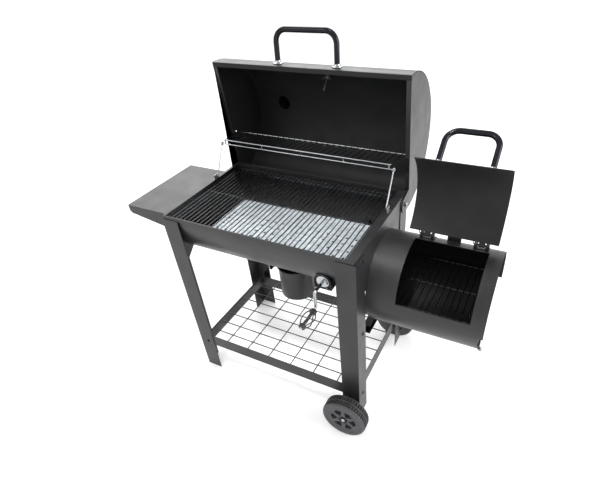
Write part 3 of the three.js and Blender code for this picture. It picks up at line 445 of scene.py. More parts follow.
# ---- tub ----
tub = {"radius": 195.0, "sheet": 2.0, "half": 318.0, "rim": 674.0, "hem": 12.0, "sides": 120,
       "outlet": 44.0, "outletX": 10.0, "crankX": 211.0, "crankZ": 564.0, "crankHole": 5.5}
gap = 0.3


def tubWall():
    # U of the half barrel: arc of radius R - t/2 from 180 to 360 degrees, then the rim folded out and down
    middle = tub["radius"] - tub["sheet"] / 2
    curve = arc(0, tub["rim"] - 1.4, middle, 180, 360, tub["sides"])
    hemOut = tub["radius"] + 1.7
    fold = [(hemOut, tub["rim"] - tub["hem"] + 1), (hemOut, tub["rim"] - 1.6), (hemOut - 0.6, tub["rim"] - 1.0)]
    fold = np.array(fold)
    leftFold = fold * [-1, 1]
    shoulder = np.array([[middle + 0.6, tub["rim"] - 1.0]])
    section = np.concatenate([leftFold, shoulder * [-1, 1], curve, shoulder, fold[::-1]])
    return bentSheet(section, tub["sheet"], -tub["half"], tub["half"])


drums = [turned([(0, 440), (tub["outlet"], 440), (tub["outlet"], 520), (0, 520)], (tub["outletX"], 0, 0))]
crankBore = turned([(0, -240), (tub["crankHole"], -240), (tub["crankHole"], -60), (0, -60)],
                   (tub["crankX"], 0, tub["crankZ"]), (0, 1, 0), 24)
# the tub's inner faces take the near-black painted shade
makePiece("tubWall", tubWall(), satinBlack, "cart", ("tub_shell",), 30, holes=drums + [crankBore],
          inside=(paintedShadeBlack, 0, tub["rim"], tub["radius"] - 1))

ledgeZ = 657.0
ledges = []
for side in (-1, 1):
    reach = math.sqrt((tub["radius"] - tub["sheet"]) ** 2 - (tub["rim"] - ledgeZ) ** 2) + 0.3
    ledges.append(bentSheet([(side * 175, 649), (side * 175, ledgeZ), (side * reach, ledgeZ)], 2, -290, 290))
back = math.sqrt((tub["radius"] - tub["sheet"]) ** 2 - (tub["rim"] - tub["crankZ"]) ** 2)
bearing = turned([(4.9, 137), (11.5, 137), (12, 138), (12, back - 6), (4.9, back - 6)],
                 (tub["crankX"], 0, tub["crankZ"]), (0, 1, 0), 32, ring=True)
makePiece("grateLedges", join(*ledges, bearing), satinBlack, "cart", bevel=0.3)
for node in ("tub_end_left", "tub_end_right"):
    finishNode(node, satinBlack, "cart", 0.6)
for node in ("leg_front_left", "leg_front_right", "leg_rear_left", "leg_rear_right"):
    finishNode(node, satinBlack, "cart", 0.7)
print("tub and legs")


# ---- lid: drawn closed, then opened about its ear bolts ----
lid = {"radius": 205.0, "sheet": 2.0, "half": 325.6, "inner": 323.6, "axis": 675.0, "lip": 14.0, "backLip": 7.5,
       "lipZ": 675.5, "open": 85.0, "sides": 130}
lidPivot = (0, 174.5, 641.0)


def openedLid(shape):
    return swung(shape, lidPivot, -lid["open"])


def lidWall():
    # arc of radius R - t/2 over the top, each long edge turned in by the lip along a small bend
    middle = lid["radius"] - lid["sheet"] / 2
    level = lid["lipZ"] + lid["sheet"] / 2
    curve = arc(0, lid["axis"], middle, 1.1, 178.9, lid["sides"])
    bend = [(middle - 1.6, level), (middle - 0.5, level + 0.5)]
    back = [(lid["radius"] - lid["backLip"], level)] + bend
    front = [(lid["radius"] - lid["lip"], level)] + bend
    section = np.concatenate([back, curve, np.array(front[::-1]) * [-1, 1]])
    return bentSheet(section, lid["sheet"], -lid["half"], lid["half"])


flue = turned([(0, 820), (24, 820), (24, 900), (0, 900)], (-217, 0, 0))
stemAngle = 130.0
stemAxis = (0, math.cos(math.radians(stemAngle)), math.sin(math.radians(stemAngle)))
stemHole = turned([(0, 185), (4.5, 185), (4.5, 225), (0, 225)], (0, 0, lid["axis"]), stemAxis, 24)
openAxis = openedLid(([(0, 0, lid["axis"])], []))[0][0]
# the lid's inner faces take the near-black painted shade
makePiece("lidWall", openedLid(lidWall()), satinBlack, "lid", ("lid_shell",), 30,
          holes=[openedLid(flue), openedLid(stemHole)],
          inside=(paintedShadeBlack, openAxis[1], openAxis[2], lid["radius"] - 1))
for node in ("lid_end_left", "lid_end_right"):
    finishNode(node, satinBlack, "lid", 0.6)
for node in ("lid_bolt_left", "lid_bolt_right"):
    finishNode(node, zincPlate, "lid", 0.5)
for node in ("lid_stop_left", "lid_stop_right"):
    finishNode(node, stopRubber, "cart", 1.0)


def bowHandle(span, height, radius=8.0, bend=34.0):
    half = span / 2
    corners = [(-half, 0, 0.2), (-half, 0, height), (half, 0, height), (half, 0, 0.2)]
    return carried(bentPath(corners, bend, 16), circle(radius, 28), (0, 1, 0))


def handleFeet(span):
    # a bell-shaped washer round each foot
    profile = [(8.1, 0.2), (15, 0.2), (15.6, 1.2), (15, 2.6), (12, 3.6), (10.4, 6.5), (9.6, 9), (8.1, 9.2)]
    return join(*[turned(profile, (side * span / 2, 0, 0), sides=36, ring=True) for side in (-1, 1)])


lidHandle = {"span": 196, "height": 92, "angle": 172}


def onLid(shape, angle, lift=gap):
    return openedLid(onDrum(shape, lid["radius"] + lift, angle, lid["axis"]))


# the bow's dark colour is a painted reflection on its chrome
makePiece("lidHandleBow", onLid(bowHandle(lidHandle["span"], lidHandle["height"]), lidHandle["angle"]), chromePaintedDark,
          "lid", ("lid_handle",), 40)
makePiece("lidHandleFeet", onLid(handleFeet(lidHandle["span"]), lidHandle["angle"]), brightChrome, "lid")

chimney = {"x": -217.0, "radius": 32.0, "bore": 30.0, "top": 1070.0, "saddle": 48.0}


def chimneyPipe():
    # pipe whose foot follows the drum: z = axis + sqrt(R^2 - (r sin a)^2)
    angle = np.arange(64) * 2 * np.pi / 64
    rows = []
    for radius, height in ((chimney["bore"], None), (chimney["bore"], chimney["top"] - 0.4),
                           (chimney["bore"] + 0.5, chimney["top"]), (chimney["radius"] - 0.5, chimney["top"]),
                           (chimney["radius"], chimney["top"] - 0.5), (chimney["radius"], None)):
        y = radius * np.sin(angle)
        z = np.sqrt((lid["radius"] + gap) ** 2 - y ** 2) + lid["axis"] if height is None else np.full(64, height)
        rows.append(np.stack([chimney["x"] + radius * np.cos(angle), y, z], axis=1))
    points = np.array(rows)
    return points.reshape(-1, 3), quads(6, 64, True, True)


def chimneySaddle():
    # flange rolled to the drum: z = axis + sqrt(R^2 - y^2), from the pipe to the flange's rim
    angle = np.arange(64) * 2 * np.pi / 64
    rows = []
    for radius, rise in ((31.5, 0), (chimney["saddle"], 0), (chimney["saddle"], 1.6), (chimney["saddle"] - 0.5, 2),
                         (36, 2), (33.5, 3.2), (32, 6), (31.5, 6)):
        y = radius * np.sin(angle)
        z = lid["axis"] + np.sqrt((lid["radius"] + gap + rise) ** 2 - y ** 2)
        rows.append(np.stack([chimney["x"] + radius * np.cos(angle), y, z], axis=1))
    return np.array(rows).reshape(-1, 3), quads(8, 64, True, True)


def roundScrew(radius, height):
    # domed head with a flat crown; no cross recess is cut
    return [(0, 0), (radius, 0), (radius, height * 0.35), (radius * 0.8, height * 0.8), (radius * 0.4, height),
            (0, height)]


lug = block((-263, -6, 1062), (-248, 6, 1069.6))
makePiece("chimneyPipe", openedLid(chimneyPipe()), satinBlack, "lid", ("chimney",), 40)
makePiece("chimneySaddle", openedLid(join(chimneySaddle(), lug)), satinBlack, "lid", bevel=0.3)
screws = []
for degrees in (45, 135, 225, 315):
    a = math.radians(degrees)
    x, y = chimney["x"] + 41.5 * math.cos(a), 41.5 * math.sin(a)
    lean = math.degrees(math.asin(-y / lid["radius"]))
    head = onDrum(turned(roundScrew(4, 2.6), (x, 0, 0), sides=20), lid["radius"] + gap + 2, 90 + lean, lid["axis"])
    screws.append(head)
makePiece("chimneyScrews", openedLid(join(*screws)), zincPlate, "lid")
capZ = chimney["top"] + gap
capProfile = [(0, capZ), (35.4, capZ), (36, capZ + 0.5), (36, capZ + 1.6), (35.4, capZ + 2), (0, capZ + 2)]
capEar = prism([(-263, -7), (-217, -7), (-217, 7), (-263, 7)], capZ, capZ + 1.95, "z")
capPin = turned([(0, capZ - 8), (2, capZ - 8), (2, capZ + 2), (4.2, capZ + 2), (4.2, capZ + 3), (3, capZ + 4.4),
                 (0, capZ + 4.7)], (-257, 0, 0), sides=24)
makePiece("chimneyCap", openedLid(join(turned(capProfile, (chimney["x"], 0, 0), sides=64), capEar)), satinBlack,
          "chimney_damper", ("chimney_cap",), bevel=0.2)
makePiece("chimneyCapPin", openedLid(capPin), zincPlate, "chimney_damper")
print("lid and chimney")


# ---- thermometer: drawn standing on the closed drum at its own angle ----
def onStem(shape):
    return openedLid(swung(moved(shape, 0, 0, lid["axis"]), (0, 0, lid["axis"]), stemAngle - 90))


caseProfile = [(4, 206), (20, 206), (31, 206.6), (33.4, 208.5), (34, 211), (34, 215.5), (33.2, 217.4), (31.8, 218),
               (30.4, 217.2), (30.2, 214.6), (4, 214.6)]
makePiece("thermometerCase", onStem(turned(caseProfile, (0, 0, 0), sides=72, ring=True)), brightChrome, "lid",
          ("thermometer",), 30)
makePiece("thermometerDial", onStem(turned([(0, 214.7), (30.1, 214.7), (30.1, 215.1), (0, 215.1)], (0, 0, 0),
          sides=64)), dialFace, "lid")


def dialMark(angle, near, far, width, height=215.4):
    a = math.radians(angle)
    out, across = np.array([math.cos(a), math.sin(a)]), np.array([-math.sin(a), math.cos(a)])
    corners = [out * near - across * width, out * far - across * width, out * far + across * width,
               out * near + across * width]
    return prism(corners, 215.0, height, "z")


marks = [dialMark(225 - 9 * i, 23 if i % 5 == 0 else 25, 28, 0.55 if i % 5 == 0 else 0.3) for i in range(31)]
makePiece("thermometerMarks", onStem(join(*marks)), dialInk, "lid")
makePiece("thermometerNeedle", onStem(join(dialMark(205, -5, 21, 0.6, 215.9),
          turned([(0, 215), (2.4, 215), (2.4, 216.3), (0, 216.5)], (0, 0, 0), sides=24))), dialRed, "lid")
stemShape = turned([(0, 149), (2, 149), (3, 151), (3, 206.2), (0, 206.2)], (0, 0, 0), sides=20)
wing = join(prism([(-15, 187.2), (-11, 187), (-7, 192), (7, 192), (11, 187), (15, 187.2), (14, 195), (8, 198),
                   (-8, 198), (-14, 195)], -1.5, 1.5, "y"),
            turned([(3.05, 190), (7, 190), (8, 192), (8, 201.6), (3.05, 201.6)], (0, 0, 0), sides=32, ring=True))
makePiece("thermometerStem", onStem(join(stemShape, wing)), zincPlate, "lid", bevel=0.3)
print("thermometer")


# ---- warming rack ----
rack = {"half": 303.6, "wire": 2.0, "thin": 1.5, "front": (119.0, 779.0), "top": 793.0, "back": (228.0, 779.0),
        "foot": (62.0, 684.0), "cross": 29, "reach": 321.6}
inner = rack["half"] - 9
frontY, frontZ = rack["front"]
backY, backZ = rack["back"]
rackWires = [rod((-rack["half"] - 5, frontY, frontZ), (rack["half"] + 5, frontY, frontZ), rack["wire"], 14),
             rod((-inner, frontY, rack["top"]), (inner, frontY, rack["top"]), rack["wire"], 14),
             rod((-rack["reach"], backY, backZ), (rack["reach"], backY, backZ), rack["wire"], 14)]
for x in np.linspace(-inner + 1, inner - 1, rack["cross"]):
    rackWires.append(rod((x, frontY - 1, rack["top"]), (x, backY + 1, backZ), rack["thin"], 10))
for x in np.linspace(-inner + 6, inner - 6, 5):
    rackWires.append(rod((x, frontY, frontZ - 1), (x, frontY, rack["top"] + 1), rack["wire"], 12))
makePiece("rackWires", join(*rackWires), brightChrome, "rack", ("rack_grid",))
footY, footZ = rack["foot"]
for name, side in (("left", -1), ("right", 1)):
    x = side * rack["half"]
    legWire = wire([(side * (rack["half"] + 10), footY, footZ), (x, footY, footZ), (x, frontY - 2.2, frontZ - 3.7)],
                   rack["wire"], 4, 14, (1, 0.2, 0))
    eye = turned([(3.1, -2), (5.6, -2), (6, -1.6), (6, 1.6), (5.6, 2), (3.1, 2)], (x, frontY, frontZ), (1, 0, 0), 32,
                 ring=True)
    makePiece("rackLeg_" + name, join(legWire, eye), brightChrome, "rack_legs", ("rack_leg_" + name,))
    finishNode("rack_bracket_" + name, zincPlate, "cart", 0.3)
print("warming rack")


# ---- grates ----
grate = {"rod": 3.2, "pitch": 15.2, "count": 20, "half": 188.0, "cross": (-181.0, 0.0, 181.0)}


def grateRods(xs, half, cross, crossZ, crossX, sides=12):
    # round rods across the depth, their ends rounded, laid on the 4 mm cross rods that carry them
    radius, crossRadius = grate["rod"] / 2, 2.0
    z = crossZ + crossRadius + radius - 0.1
    bars = [rod((x, -half, z), (x, half, z), radius, sides, 0.45) for x in xs]
    bars += [rod((crossX[0], y, crossZ), (crossX[1], y, crossZ), crossRadius, sides) for y in cross]
    return join(*bars)


for name, first in (("left", -311.0), ("right", -4.0)):
    xs = first + grate["pitch"] * np.arange(grate["count"])
    rods = grateRods(xs, grate["half"], grate["cross"], 660.3, (xs[0] - 3, xs[-1] + 3))
    makePiece("cookingRods_" + name, rods, enamelBlack, "grate_" + name, ("cooking_grate_" + name,))
coalRods = np.linspace(332.6, 615.4, 17)
makePiece("charcoalRods", grateRods(coalRods, 129, (-121, 0, 121), 501.3, (326.6, 621.4)), enamelBlack, "cart",
          ("firebox_grate",))
print("grates")


# ---- coal trays ----
tray = {"top": 580.0, "sheet": 1.2, "half": 112.0, "drop": 10.0, "pitchX": 32.25, "pitchY": 32.5,
        "firstRow": -77.4, "rows": 4, "hole": 4.2}
for name, x0, x1, middleX in (("left", -249.0, -1.0, -127.4), ("right", 1.0, 249.0, 130.5)):
    corners = [(0, -tray["half"] + 0.6, tray["top"] - tray["drop"]), (0, -tray["half"] + 0.6, tray["top"] - 0.6),
               (0, tray["half"] - 0.6, tray["top"] - 0.6), (0, tray["half"] - 0.6, tray["top"] - tray["drop"])]
    section = bentPath(corners, 2.0, 5)[:, 1:]
    centres = middleX + tray["pitchX"] * (np.arange(7) - 3)
    rows = tray["firstRow"] + tray["pitchY"] * np.arange(tray["rows"])
    punch = [(0, 572), (tray["hole"], 572), (tray["hole"], 584), (0, 584)]
    drills = [turned(punch, (x, y, 0), sides=14) for y in rows for x in centres]
    makePiece("coalTray_" + name, bentSheet(section, tray["sheet"], x0, x1), galvanised, "coal_tray",
              ("coal_tray_" + name,), 30, holes=drills)
finishNode("tray_frame", mattBlack, "coal_tray", 0.5)
print("coal trays")


# ---- crank ----
crank = {"x": 211.0, "z": 564.0, "radius": 4.5, "arm": 56.0, "armY": -227.0, "end": -313.0, "back": 153.8,
         "cams": (-96.0, 96.0), "rate": 40 / math.pi, "camTop": 7.9}


def camPlate(y):
    # involute: u = a (cos t + t sin t), v = a (sin t - t cos t), so that the frame rises evenly with the turn
    a, start = crank["rate"], crank["camTop"] / crank["rate"]
    roll = start + np.linspace(0, math.pi, 40)
    curve = np.stack([a * (np.cos(roll) + roll * np.sin(roll)), a * (np.sin(roll) - roll * np.cos(roll))], axis=1)
    outline = np.concatenate([curve, [[-6, -2], [-3.6, -3.9], [-1, -5], [1.5, -4.9], [4, -4]]])
    c, s = math.cos(math.pi - start), math.sin(math.pi - start)
    placed = outline @ np.array([[c, s], [-s, c]]) + [crank["x"], crank["z"]]
    return prism(placed, y - 4, y + 4, "y")


armEnd = crank["z"] - crank["arm"]
crankPath = [(crank["x"], crank["back"], crank["z"]), (crank["x"], crank["armY"], crank["z"]),
             (crank["x"], crank["armY"], armEnd), (crank["x"], crank["end"], armEnd)]
shaft = carried(bentPath(crankPath, 9, 12), circle(crank["radius"], 24), (1, 0, 0))
makePiece("crankShaft", shaft, brightChrome, "crank", ("crank_rod",), 40)
makePiece("crankCams", join(*[camPlate(y) for y in crank["cams"]]), zincPlate, "crank", bevel=0.4)
grip = {"near": -239.0, "far": -310.0, "strands": 6, "bow": 10.5, "hug": 7.6, "wire": 1.6}


def gripWires():
    # each wire bows out and twists: radius = hug + bow sin(pi s), angle = a0 + twist s
    share = np.linspace(0, 1, 25)
    bow = grip["hug"] + grip["bow"] * np.sin(np.pi * share)
    shapes = []
    for k in range(grip["strands"]):
        angle = 2 * np.pi * k / grip["strands"] + 0.9 * (share - 0.5)
        along = grip["near"] - 4 + (grip["far"] - grip["near"] + 8) * share
        path = np.stack([crank["x"] + bow * np.cos(angle), along, armEnd + bow * np.sin(angle)], axis=1)
        out = (math.cos(2 * math.pi * k / grip["strands"]), 0, math.sin(2 * math.pi * k / grip["strands"]))
        shapes.append(carried(path, circle(grip["wire"], 10), out))
    return join(*shapes)


def gripCollar(y0, y1):
    profile = [(4.85, y0), (8.6, y0), (10, y0 + 1.2), (10, y1 - 1.2), (8.6, y1), (4.85, y1)]
    return turned(profile, (crank["x"], 0, armEnd), (0, 1, 0), 36, ring=True)


makePiece("gripCage", join(gripWires(), gripCollar(-249, -239), gripCollar(-310, -300)), gripWire, "crank",
          ("crank_grip",), 40)
finishNode("crank_bracket", mattBlack, "cart", 0.5)
washerProfile = [(4.9, -179), (17.4, -179), (19, -178.4), (19, -176.6), (18.4, -176.3), (4.9, -176.3)]
makePiece("crankWasher", turned(washerProfile, (crank["x"], 0, crank["z"]), (0, 1, 0), 56, ring=True), brightChrome,
          "cart", ("crank_washer",))
print("crank")


# ---- ash collar and bucket ----
ash = {"x": 10.0, "collar": 46.0, "low": 453.0, "radius": 60.0, "rim": 65.0, "top": 449.0, "floor": 331.0}


def collarRing():
    # sleeve whose upper edge follows the tub: z = rim - sqrt(R^2 - y^2)
    angle = np.arange(72) * 2 * np.pi / 72
    rows = []
    for radius, level in ((44.1, None), (44.1, ash["low"] + 0.3), (44.4, ash["low"]), (45.7, ash["low"]),
                          (46, ash["low"] + 0.3), (46, None)):
        y = radius * np.sin(angle)
        z = tub["rim"] - np.sqrt((tub["radius"] + gap) ** 2 - y ** 2) if level is None else np.full(72, level)
        rows.append(np.stack([ash["x"] + radius * np.cos(angle), y, z], axis=1))
    return np.array(rows).reshape(-1, 3), quads(6, 72, True, True)


makePiece("ashCollar", collarRing(), mattBlack, "cart", ("ash_collar",))
bucketProfile = [(0, 331), (57.5, 331), (59.3, 331.7), (60, 333.5), (60, 446.2), (60.6, 446.9), (64, 446.9),
                 (65, 447.6), (65, 448.4), (64.2, 449), (58.6, 449), (58, 448.2), (58, 335), (56.5, 333.2), (0, 333)]
makePiece("ashBucket", turned(bucketProfile, (ash["x"], 0, 0), sides=96), satinBlack, "bucket", ("ash_bucket",),
          35)
for node in ("bucket_rail_left", "bucket_rail_right"):
    finishNode(node, mattBlack, "cart", 0.3)
print("ash bucket")


# ---- side table ----
finishNode("side_table", satinBlack, "cart", 1.0)


# ---- shelf ----
for node in ("shelf_rail_front", "shelf_rail_left", "shelf_rail_right", "shelf_rail_rear"):
    finishNode(node, satinBlack, "cart", 0.5)
shelf = {"x": (-287.7, 311.7), "y": (-195.4, 169.7), "z": 169.0, "radius": 2.0, "under": 165.6}
(x0, x1), (y0, y1) = shelf["x"], shelf["y"]
longWires = [rod((x0, y, shelf["z"]), (x1, y, shelf["z"]), shelf["radius"], 12) for y in
             np.arange(y0 + 33, y1 - 10, 46.5)]
crossWires = [rod((x, y0, shelf["under"]), (x, y1, shelf["under"]), shelf["radius"], 12) for x in
              np.arange(x0 + 2, x1, 87.8)]
makePiece("shelfWires", join(*longWires, *crossWires), gripWire, "cart", ("shelf_mesh",))
print("shelf")


# ---- wheels ----
wheel = {"x": 291.0, "z": 75.0, "radius": 75.0, "hub": 59.0, "face": 265.0, "width": 45.0, "lugs": 48, "tread": 5.5}
boss = {"radius": 13.5, "bore": 6.7, "deep": 4.7, "shallow": 0.8}  # hexagon round the axle, below the wheel's face


def tyreBody(y0, y1):
    # the ring that the tread stands on, its corners turned down towards the sidewalls
    base = wheel["radius"] - wheel["tread"]
    profile = [(base - 2, y0 + 3), (base, y0 + 5), (base, y1 - 5), (base - 2, y1 - 3)]
    return turned(profile, (wheel["x"], 0, wheel["z"]), (0, 1, 0), 120, ring=True)


def sidewalls(y0, y1):
    # smooth moulded wall between the hub and the tread, on both faces
    walls = []
    for face, inward in ((y0, 1), (y1, -1)):
        steps = [(59.2, 2.0), (61, 1.6), (67, 0.4), (71, 1.0), (73.2, 3.0), (73.6, 5.4), (59.2, 5.4)]
        profile = [(radius, face + inward * depth) for radius, depth in steps]
        walls.append(turned(profile, (wheel["x"], 0, wheel["z"]), (0, 1, 0), 120, ring=True))
    base = wheel["radius"] - wheel["tread"] - 2
    core = [(59.2, y0 + 5), (base, y0 + 5), (base, y1 - 5), (59.2, y1 - 5)]
    walls.append(turned(core, (wheel["x"], 0, wheel["z"]), (0, 1, 0), 120, ring=True))
    return join(*walls)


def tread(y0, y1):
    # a middle rib and two rows of blocks, the rows half a pitch out of step with each other
    low, high = wheel["radius"] - wheel["tread"], wheel["radius"]
    middle = (y0 + y1) / 2
    rib = [(low, middle - 3.6), (high - 0.4, middle - 3.2), (high, middle - 2.8), (high, middle + 2.8),
           (high - 0.4, middle + 3.2), (low, middle + 3.6)]
    shapes = [turned(rib, (wheel["x"], 0, wheel["z"]), (0, 1, 0), 120, ring=True)]
    pitch = 2 * math.pi / wheel["lugs"]
    for k in range(wheel["lugs"]):
        for side in (-1, 1):
            start = k * pitch + (0.5 * pitch if side > 0 else 0)
            a = start + np.linspace(0, 0.5 * pitch, 3)
            near, far = middle + side * 5.4, middle + side * 18.0
            shapes.append(treadBlock(a, low, high, near, far))
    return join(*shapes)


def treadBlock(angle, low, high, near, far):
    # wedge of the tread ring: x = r cos a, z = r sin a, lower by 1.6 at its outer edge
    rows = []
    crown = (high - 0.2, near * 0.3 + far * 0.7)
    for radius, y in ((low, near), (high, near), crown, (high - 1.6, far), (low, far)):
        rows.append(np.stack([wheel["x"] + radius * np.cos(angle), np.full(len(angle), y),
                              wheel["z"] + radius * np.sin(angle)], axis=1))
    points = np.array(rows)
    cols = len(angle)
    faces = quads(5, cols, True, False)
    faces += [[i * cols for i in range(5)], [i * cols + cols - 1 for i in range(5)][::-1]]
    return points.reshape(-1, 3), faces


def windowOutline():
    corners = np.array([(17.5, 0), (38, -17), (45, 0), (38, 17)], float)
    loop = np.vstack([corners[-1], corners, corners[0]])
    rounds = [bentPath(loop[i:i + 3], 3.0, 5)[1:-1] for i in range(4)]
    return np.concatenate(rounds)


def hubDisc(y0, y1):
    inset = 2.2
    a, b = y0 + inset, y1 - inset
    # (radius, depth below the face): raised bore, sunk seat for the boss, flat web, groove, rim
    face = [(5.3, -0.6), (8, -0.6), (9, 2.4), (16, 2.4), (17.5, 0.2), (45, 0.2), (47, 1.2), (50, 1.2), (52, 0),
            (58, 0), (59, 0.6)]
    profile = [(radius, a + depth) for radius, depth in face]
    profile += [(radius, b - depth) for radius, depth in reversed(face)]
    return turned(profile, (wheel["x"], 0, wheel["z"]), (0, 1, 0), 96, ring=True)


for name, end in (("front", -1), ("rear", 1)):
    y0, y1 = sorted((end * wheel["face"], end * (wheel["face"] - wheel["width"])))
    body = "wheel_" + name
    makePiece("tyre_" + name, tyreBody(y0, y1), tyreRubber, body, ("wheel_tyre_" + name,), 40)
    makePiece("sidewall_" + name, sidewalls(y0, y1), hubPlastic, body, crease=40)
    makePiece("tread_" + name, tread(y0, y1), tyreRubber, body, crease=30)
    windows = []
    for k in range(6):
        a = k * math.pi / 3
        turn = np.array([[math.cos(a), math.sin(a)], [-math.sin(a), math.cos(a)]])
        windows.append(prism(windowOutline() @ turn + [wheel["x"], wheel["z"]], y0 - 3, y1 + 3, "y"))
    makePiece("hub_" + name, hubDisc(y0, y1), hubPlastic, body, ("wheel_hub_" + name,), 30,
              holes=windows)
    corners = np.linspace(0, 2 * math.pi, 6, endpoint=False)
    outline = boss["radius"] * np.stack([np.cos(corners), np.sin(corners)], axis=1) + [wheel["x"], wheel["z"]]
    outer = end * wheel["face"]
    bore = rod((wheel["x"], outer - end * 8, wheel["z"]), (wheel["x"], outer + end * 2, wheel["z"]), boss["bore"], 32)
    bossEnds = sorted((outer - end * boss["deep"], outer - end * boss["shallow"]))
    makePiece("boss_" + name, prism(outline, *bossEnds, "y"), stopRubber, body, bevel=0.4,
              holes=[bore])
axle = {"radius": 5.0, "cap": 260.3, "tip": 266.3}
axleParts = [rod((wheel["x"], -axle["tip"], wheel["z"]), (wheel["x"], axle["tip"], wheel["z"]), axle["radius"], 32)]
for end in (-1, 1):
    profile = [(5, 0.1), (6.4, 0.1), (6.4, 3.6), (5.8, 5.0), (5, 5.2)]
    axleParts.append(turned(profile, (wheel["x"], end * axle["cap"], wheel["z"]), (0, end, 0), 36, ring=True))
makePiece("axleBar", join(*axleParts), brightChrome, "cart", ("axle",))
print("wheels")


# ---- firebox ----
box = {"radius": 140.0, "sheet": 2.0, "axis": 494.0, "left": 320.6, "right": 646.0, "openLeft": 408.0,
       "openRight": 609.0, "back": 80.4, "front": 171.3, "lower": 137.7, "lowerRight": 634.0}


def drumSheet(outer, start, stop, x0, x1, count=90, steps=1):
    section = arc(0, box["axis"], outer - box["sheet"] / 2, start, stop, count)
    return bentSheet(section, box["sheet"], x0, x1, steps=steps)


mouth = bentSheet(arc(0, box["axis"], box["radius"], box["back"], box["front"], 60), 18, box["openLeft"],
                  box["openRight"])
upper = drumSheet(box["radius"], -8, 188, box["left"], box["right"], 110)
# the inner faces of the firebox's top and trough take the near-black painted shade
makePiece("fireboxTop", upper, satinBlack, "cart", ("firebox_upper_shell",), 30, holes=[mouth],
          inside=(paintedShadeBlack, 0, box["axis"], box["radius"] - 1))
bead = bentSheet(arc(0, box["axis"], box["radius"] + 0.2, -8, 188, 110), 0.7, box["right"] - 22, box["right"] - 19.6)
makePiece("fireboxBead", bead, satinBlack, "cart")
makePiece("fireboxTrough", drumSheet(box["lower"], 180, 360, box["left"], box["lowerRight"]), satinBlack, "cart",
          ("firebox_lower_shell",), 30, inside=(paintedShadeBlack, 0, box["axis"], box["lower"] - 1))
# the end plates take the near-black painted-shade paint all over
for node in ("firebox_end_left", "firebox_end_right"):
    finishNode(node, paintedShadeBlack, "cart", 0.4)
finishNode("firebox_support", mattBlack, "cart", 0.6)
finishNode("hatch_stop", satinBlack, "cart", 0.5)
for node in ("hatch_hinge_left", "hatch_hinge_right"):
    finishNode(node, mattBlack, "cart", 0.3)
print("firebox")

air = {"y": -45.0, "z": 447.0, "radius": 38.0, "x": 630.3, "thick": 2.0, "vent": 9.0, "ring": 24.0, "lever": 638.0,
       "knob": (641.0, -100.0, 401.0)}
at = (0, air["y"], air["z"])
vents = []
for degrees in (90, 210, 330):
    a = math.radians(degrees)
    centre = (0, air["y"] + air["ring"] * math.cos(a), air["z"] + air["ring"] * math.sin(a))
    vents.append(turned([(0, 620), (air["vent"], 620), (air["vent"], 640), (0, 640)], centre, (1, 0, 0), 32))
face = air["x"] + air["thick"]
disc = [(0, air["x"]), (air["radius"] - 0.5, air["x"]), (air["radius"], air["x"] + 0.5), (air["radius"], face - 0.5),
        (air["radius"] - 0.5, face), (0, face)]
makePiece("airDisc", turned(disc, at, (1, 0, 0), 72), satinBlack, "air_damper", ("firebox_damper",),
          holes=vents)
lever = join(turned([(0, face), (4, face), (4, 639), (3, 640), (0, 640)], at, (1, 0, 0), 28),
             rod((air["lever"], air["y"], air["z"]), (air["lever"], -97, 403.5), 2, 14))
knobTurn = np.linspace(-90, 90, 15)
knobProfile = np.stack([6 * np.cos(np.radians(knobTurn)), 6 * np.sin(np.radians(knobTurn))], axis=1)
knobProfile[[0, -1], 0] = 0
makePiece("airLever", lever, zincPlate, "air_damper")
makePiece("airKnob", turned(knobProfile, air["knob"], (1, 0, 0), 32), zincPlate, "air_damper")

# ---- hatch: drawn closed on the firebox, then opened about its hinge ----
hatch = {"outer": 144.0, "back": 77.0, "front": 172.5, "x0": 385.0, "x1": 627.0, "open": 126.0,
         "places": (436.0, 584.0)}
hatchPivot = (0, 38.0, 642.0)


def openedHatch(shape):
    return swung(shape, hatchPivot, -hatch["open"])


doorSheet = drumSheet(hatch["outer"], hatch["back"], hatch["front"], hatch["x0"], hatch["x1"], 70)
doorAxis = openedHatch(([(0, 0, box["axis"])], []))[0][0]
# the door's inner faces take the near-black painted shade
makePiece("hatchDoor", openedHatch(doorSheet), satinBlack, "hatch", ("hatch",), 30,
          inside=(paintedShadeBlack, doorAxis[1], doorAxis[2], hatch["outer"] - 1))
straps = []
for place in hatch["places"]:
    band = bentSheet(np.concatenate([arc(0, box["axis"], hatch["outer"] + 1, 90, hatch["back"], 10),
                                     [(hatchPivot[1] - 0.5, hatchPivot[2] - 5)]]), 2, place - 8, place + 8)
    barrel = turned([(3.3, -8), (5.5, -8), (6, -7.5), (6, 7.5), (5.5, 8), (3.3, 8)], (place, *hatchPivot[1:]),
                    (1, 0, 0), 32, ring=True)
    straps += [band, barrel]
    pivotY, pivotZ = hatchPivot[1:]
    hook = wire([(place - 20, pivotY, pivotZ), (place - 23, pivotY, pivotZ), (place - 23, pivotY - 9, pivotZ - 9),
                 (place - 17, pivotY - 14, pivotZ - 8)], 1.3, 2.2, 10, (0, 0.3, 1))
    straps.append(hook)
makePiece("hatchStraps", openedHatch(join(*straps)), mattBlack, "hatch")


def onHatch(shape, angle, lift=gap):
    return openedHatch(onDrum(moved(shape, (box["openLeft"] + box["openRight"]) / 2), hatch["outer"] + lift, angle,
                              box["axis"]))


# the bow's dark colour is a painted reflection on its chrome
makePiece("hatchHandleBow", onHatch(bowHandle(135, 102), 162), chromePaintedDark, "hatch", ("hatch_handle",), 40)
makePiece("hatchHandleFeet", onHatch(handleFeet(135), 162), brightChrome, "hatch")
print("hatch")


# ---- fasteners: head shapes drawn along the axis given, from the face they sit on ----
def screwAt(place, axis, radius=3.6, height=2.4):
    return turned(roundScrew(radius, height), place, axis, 20)


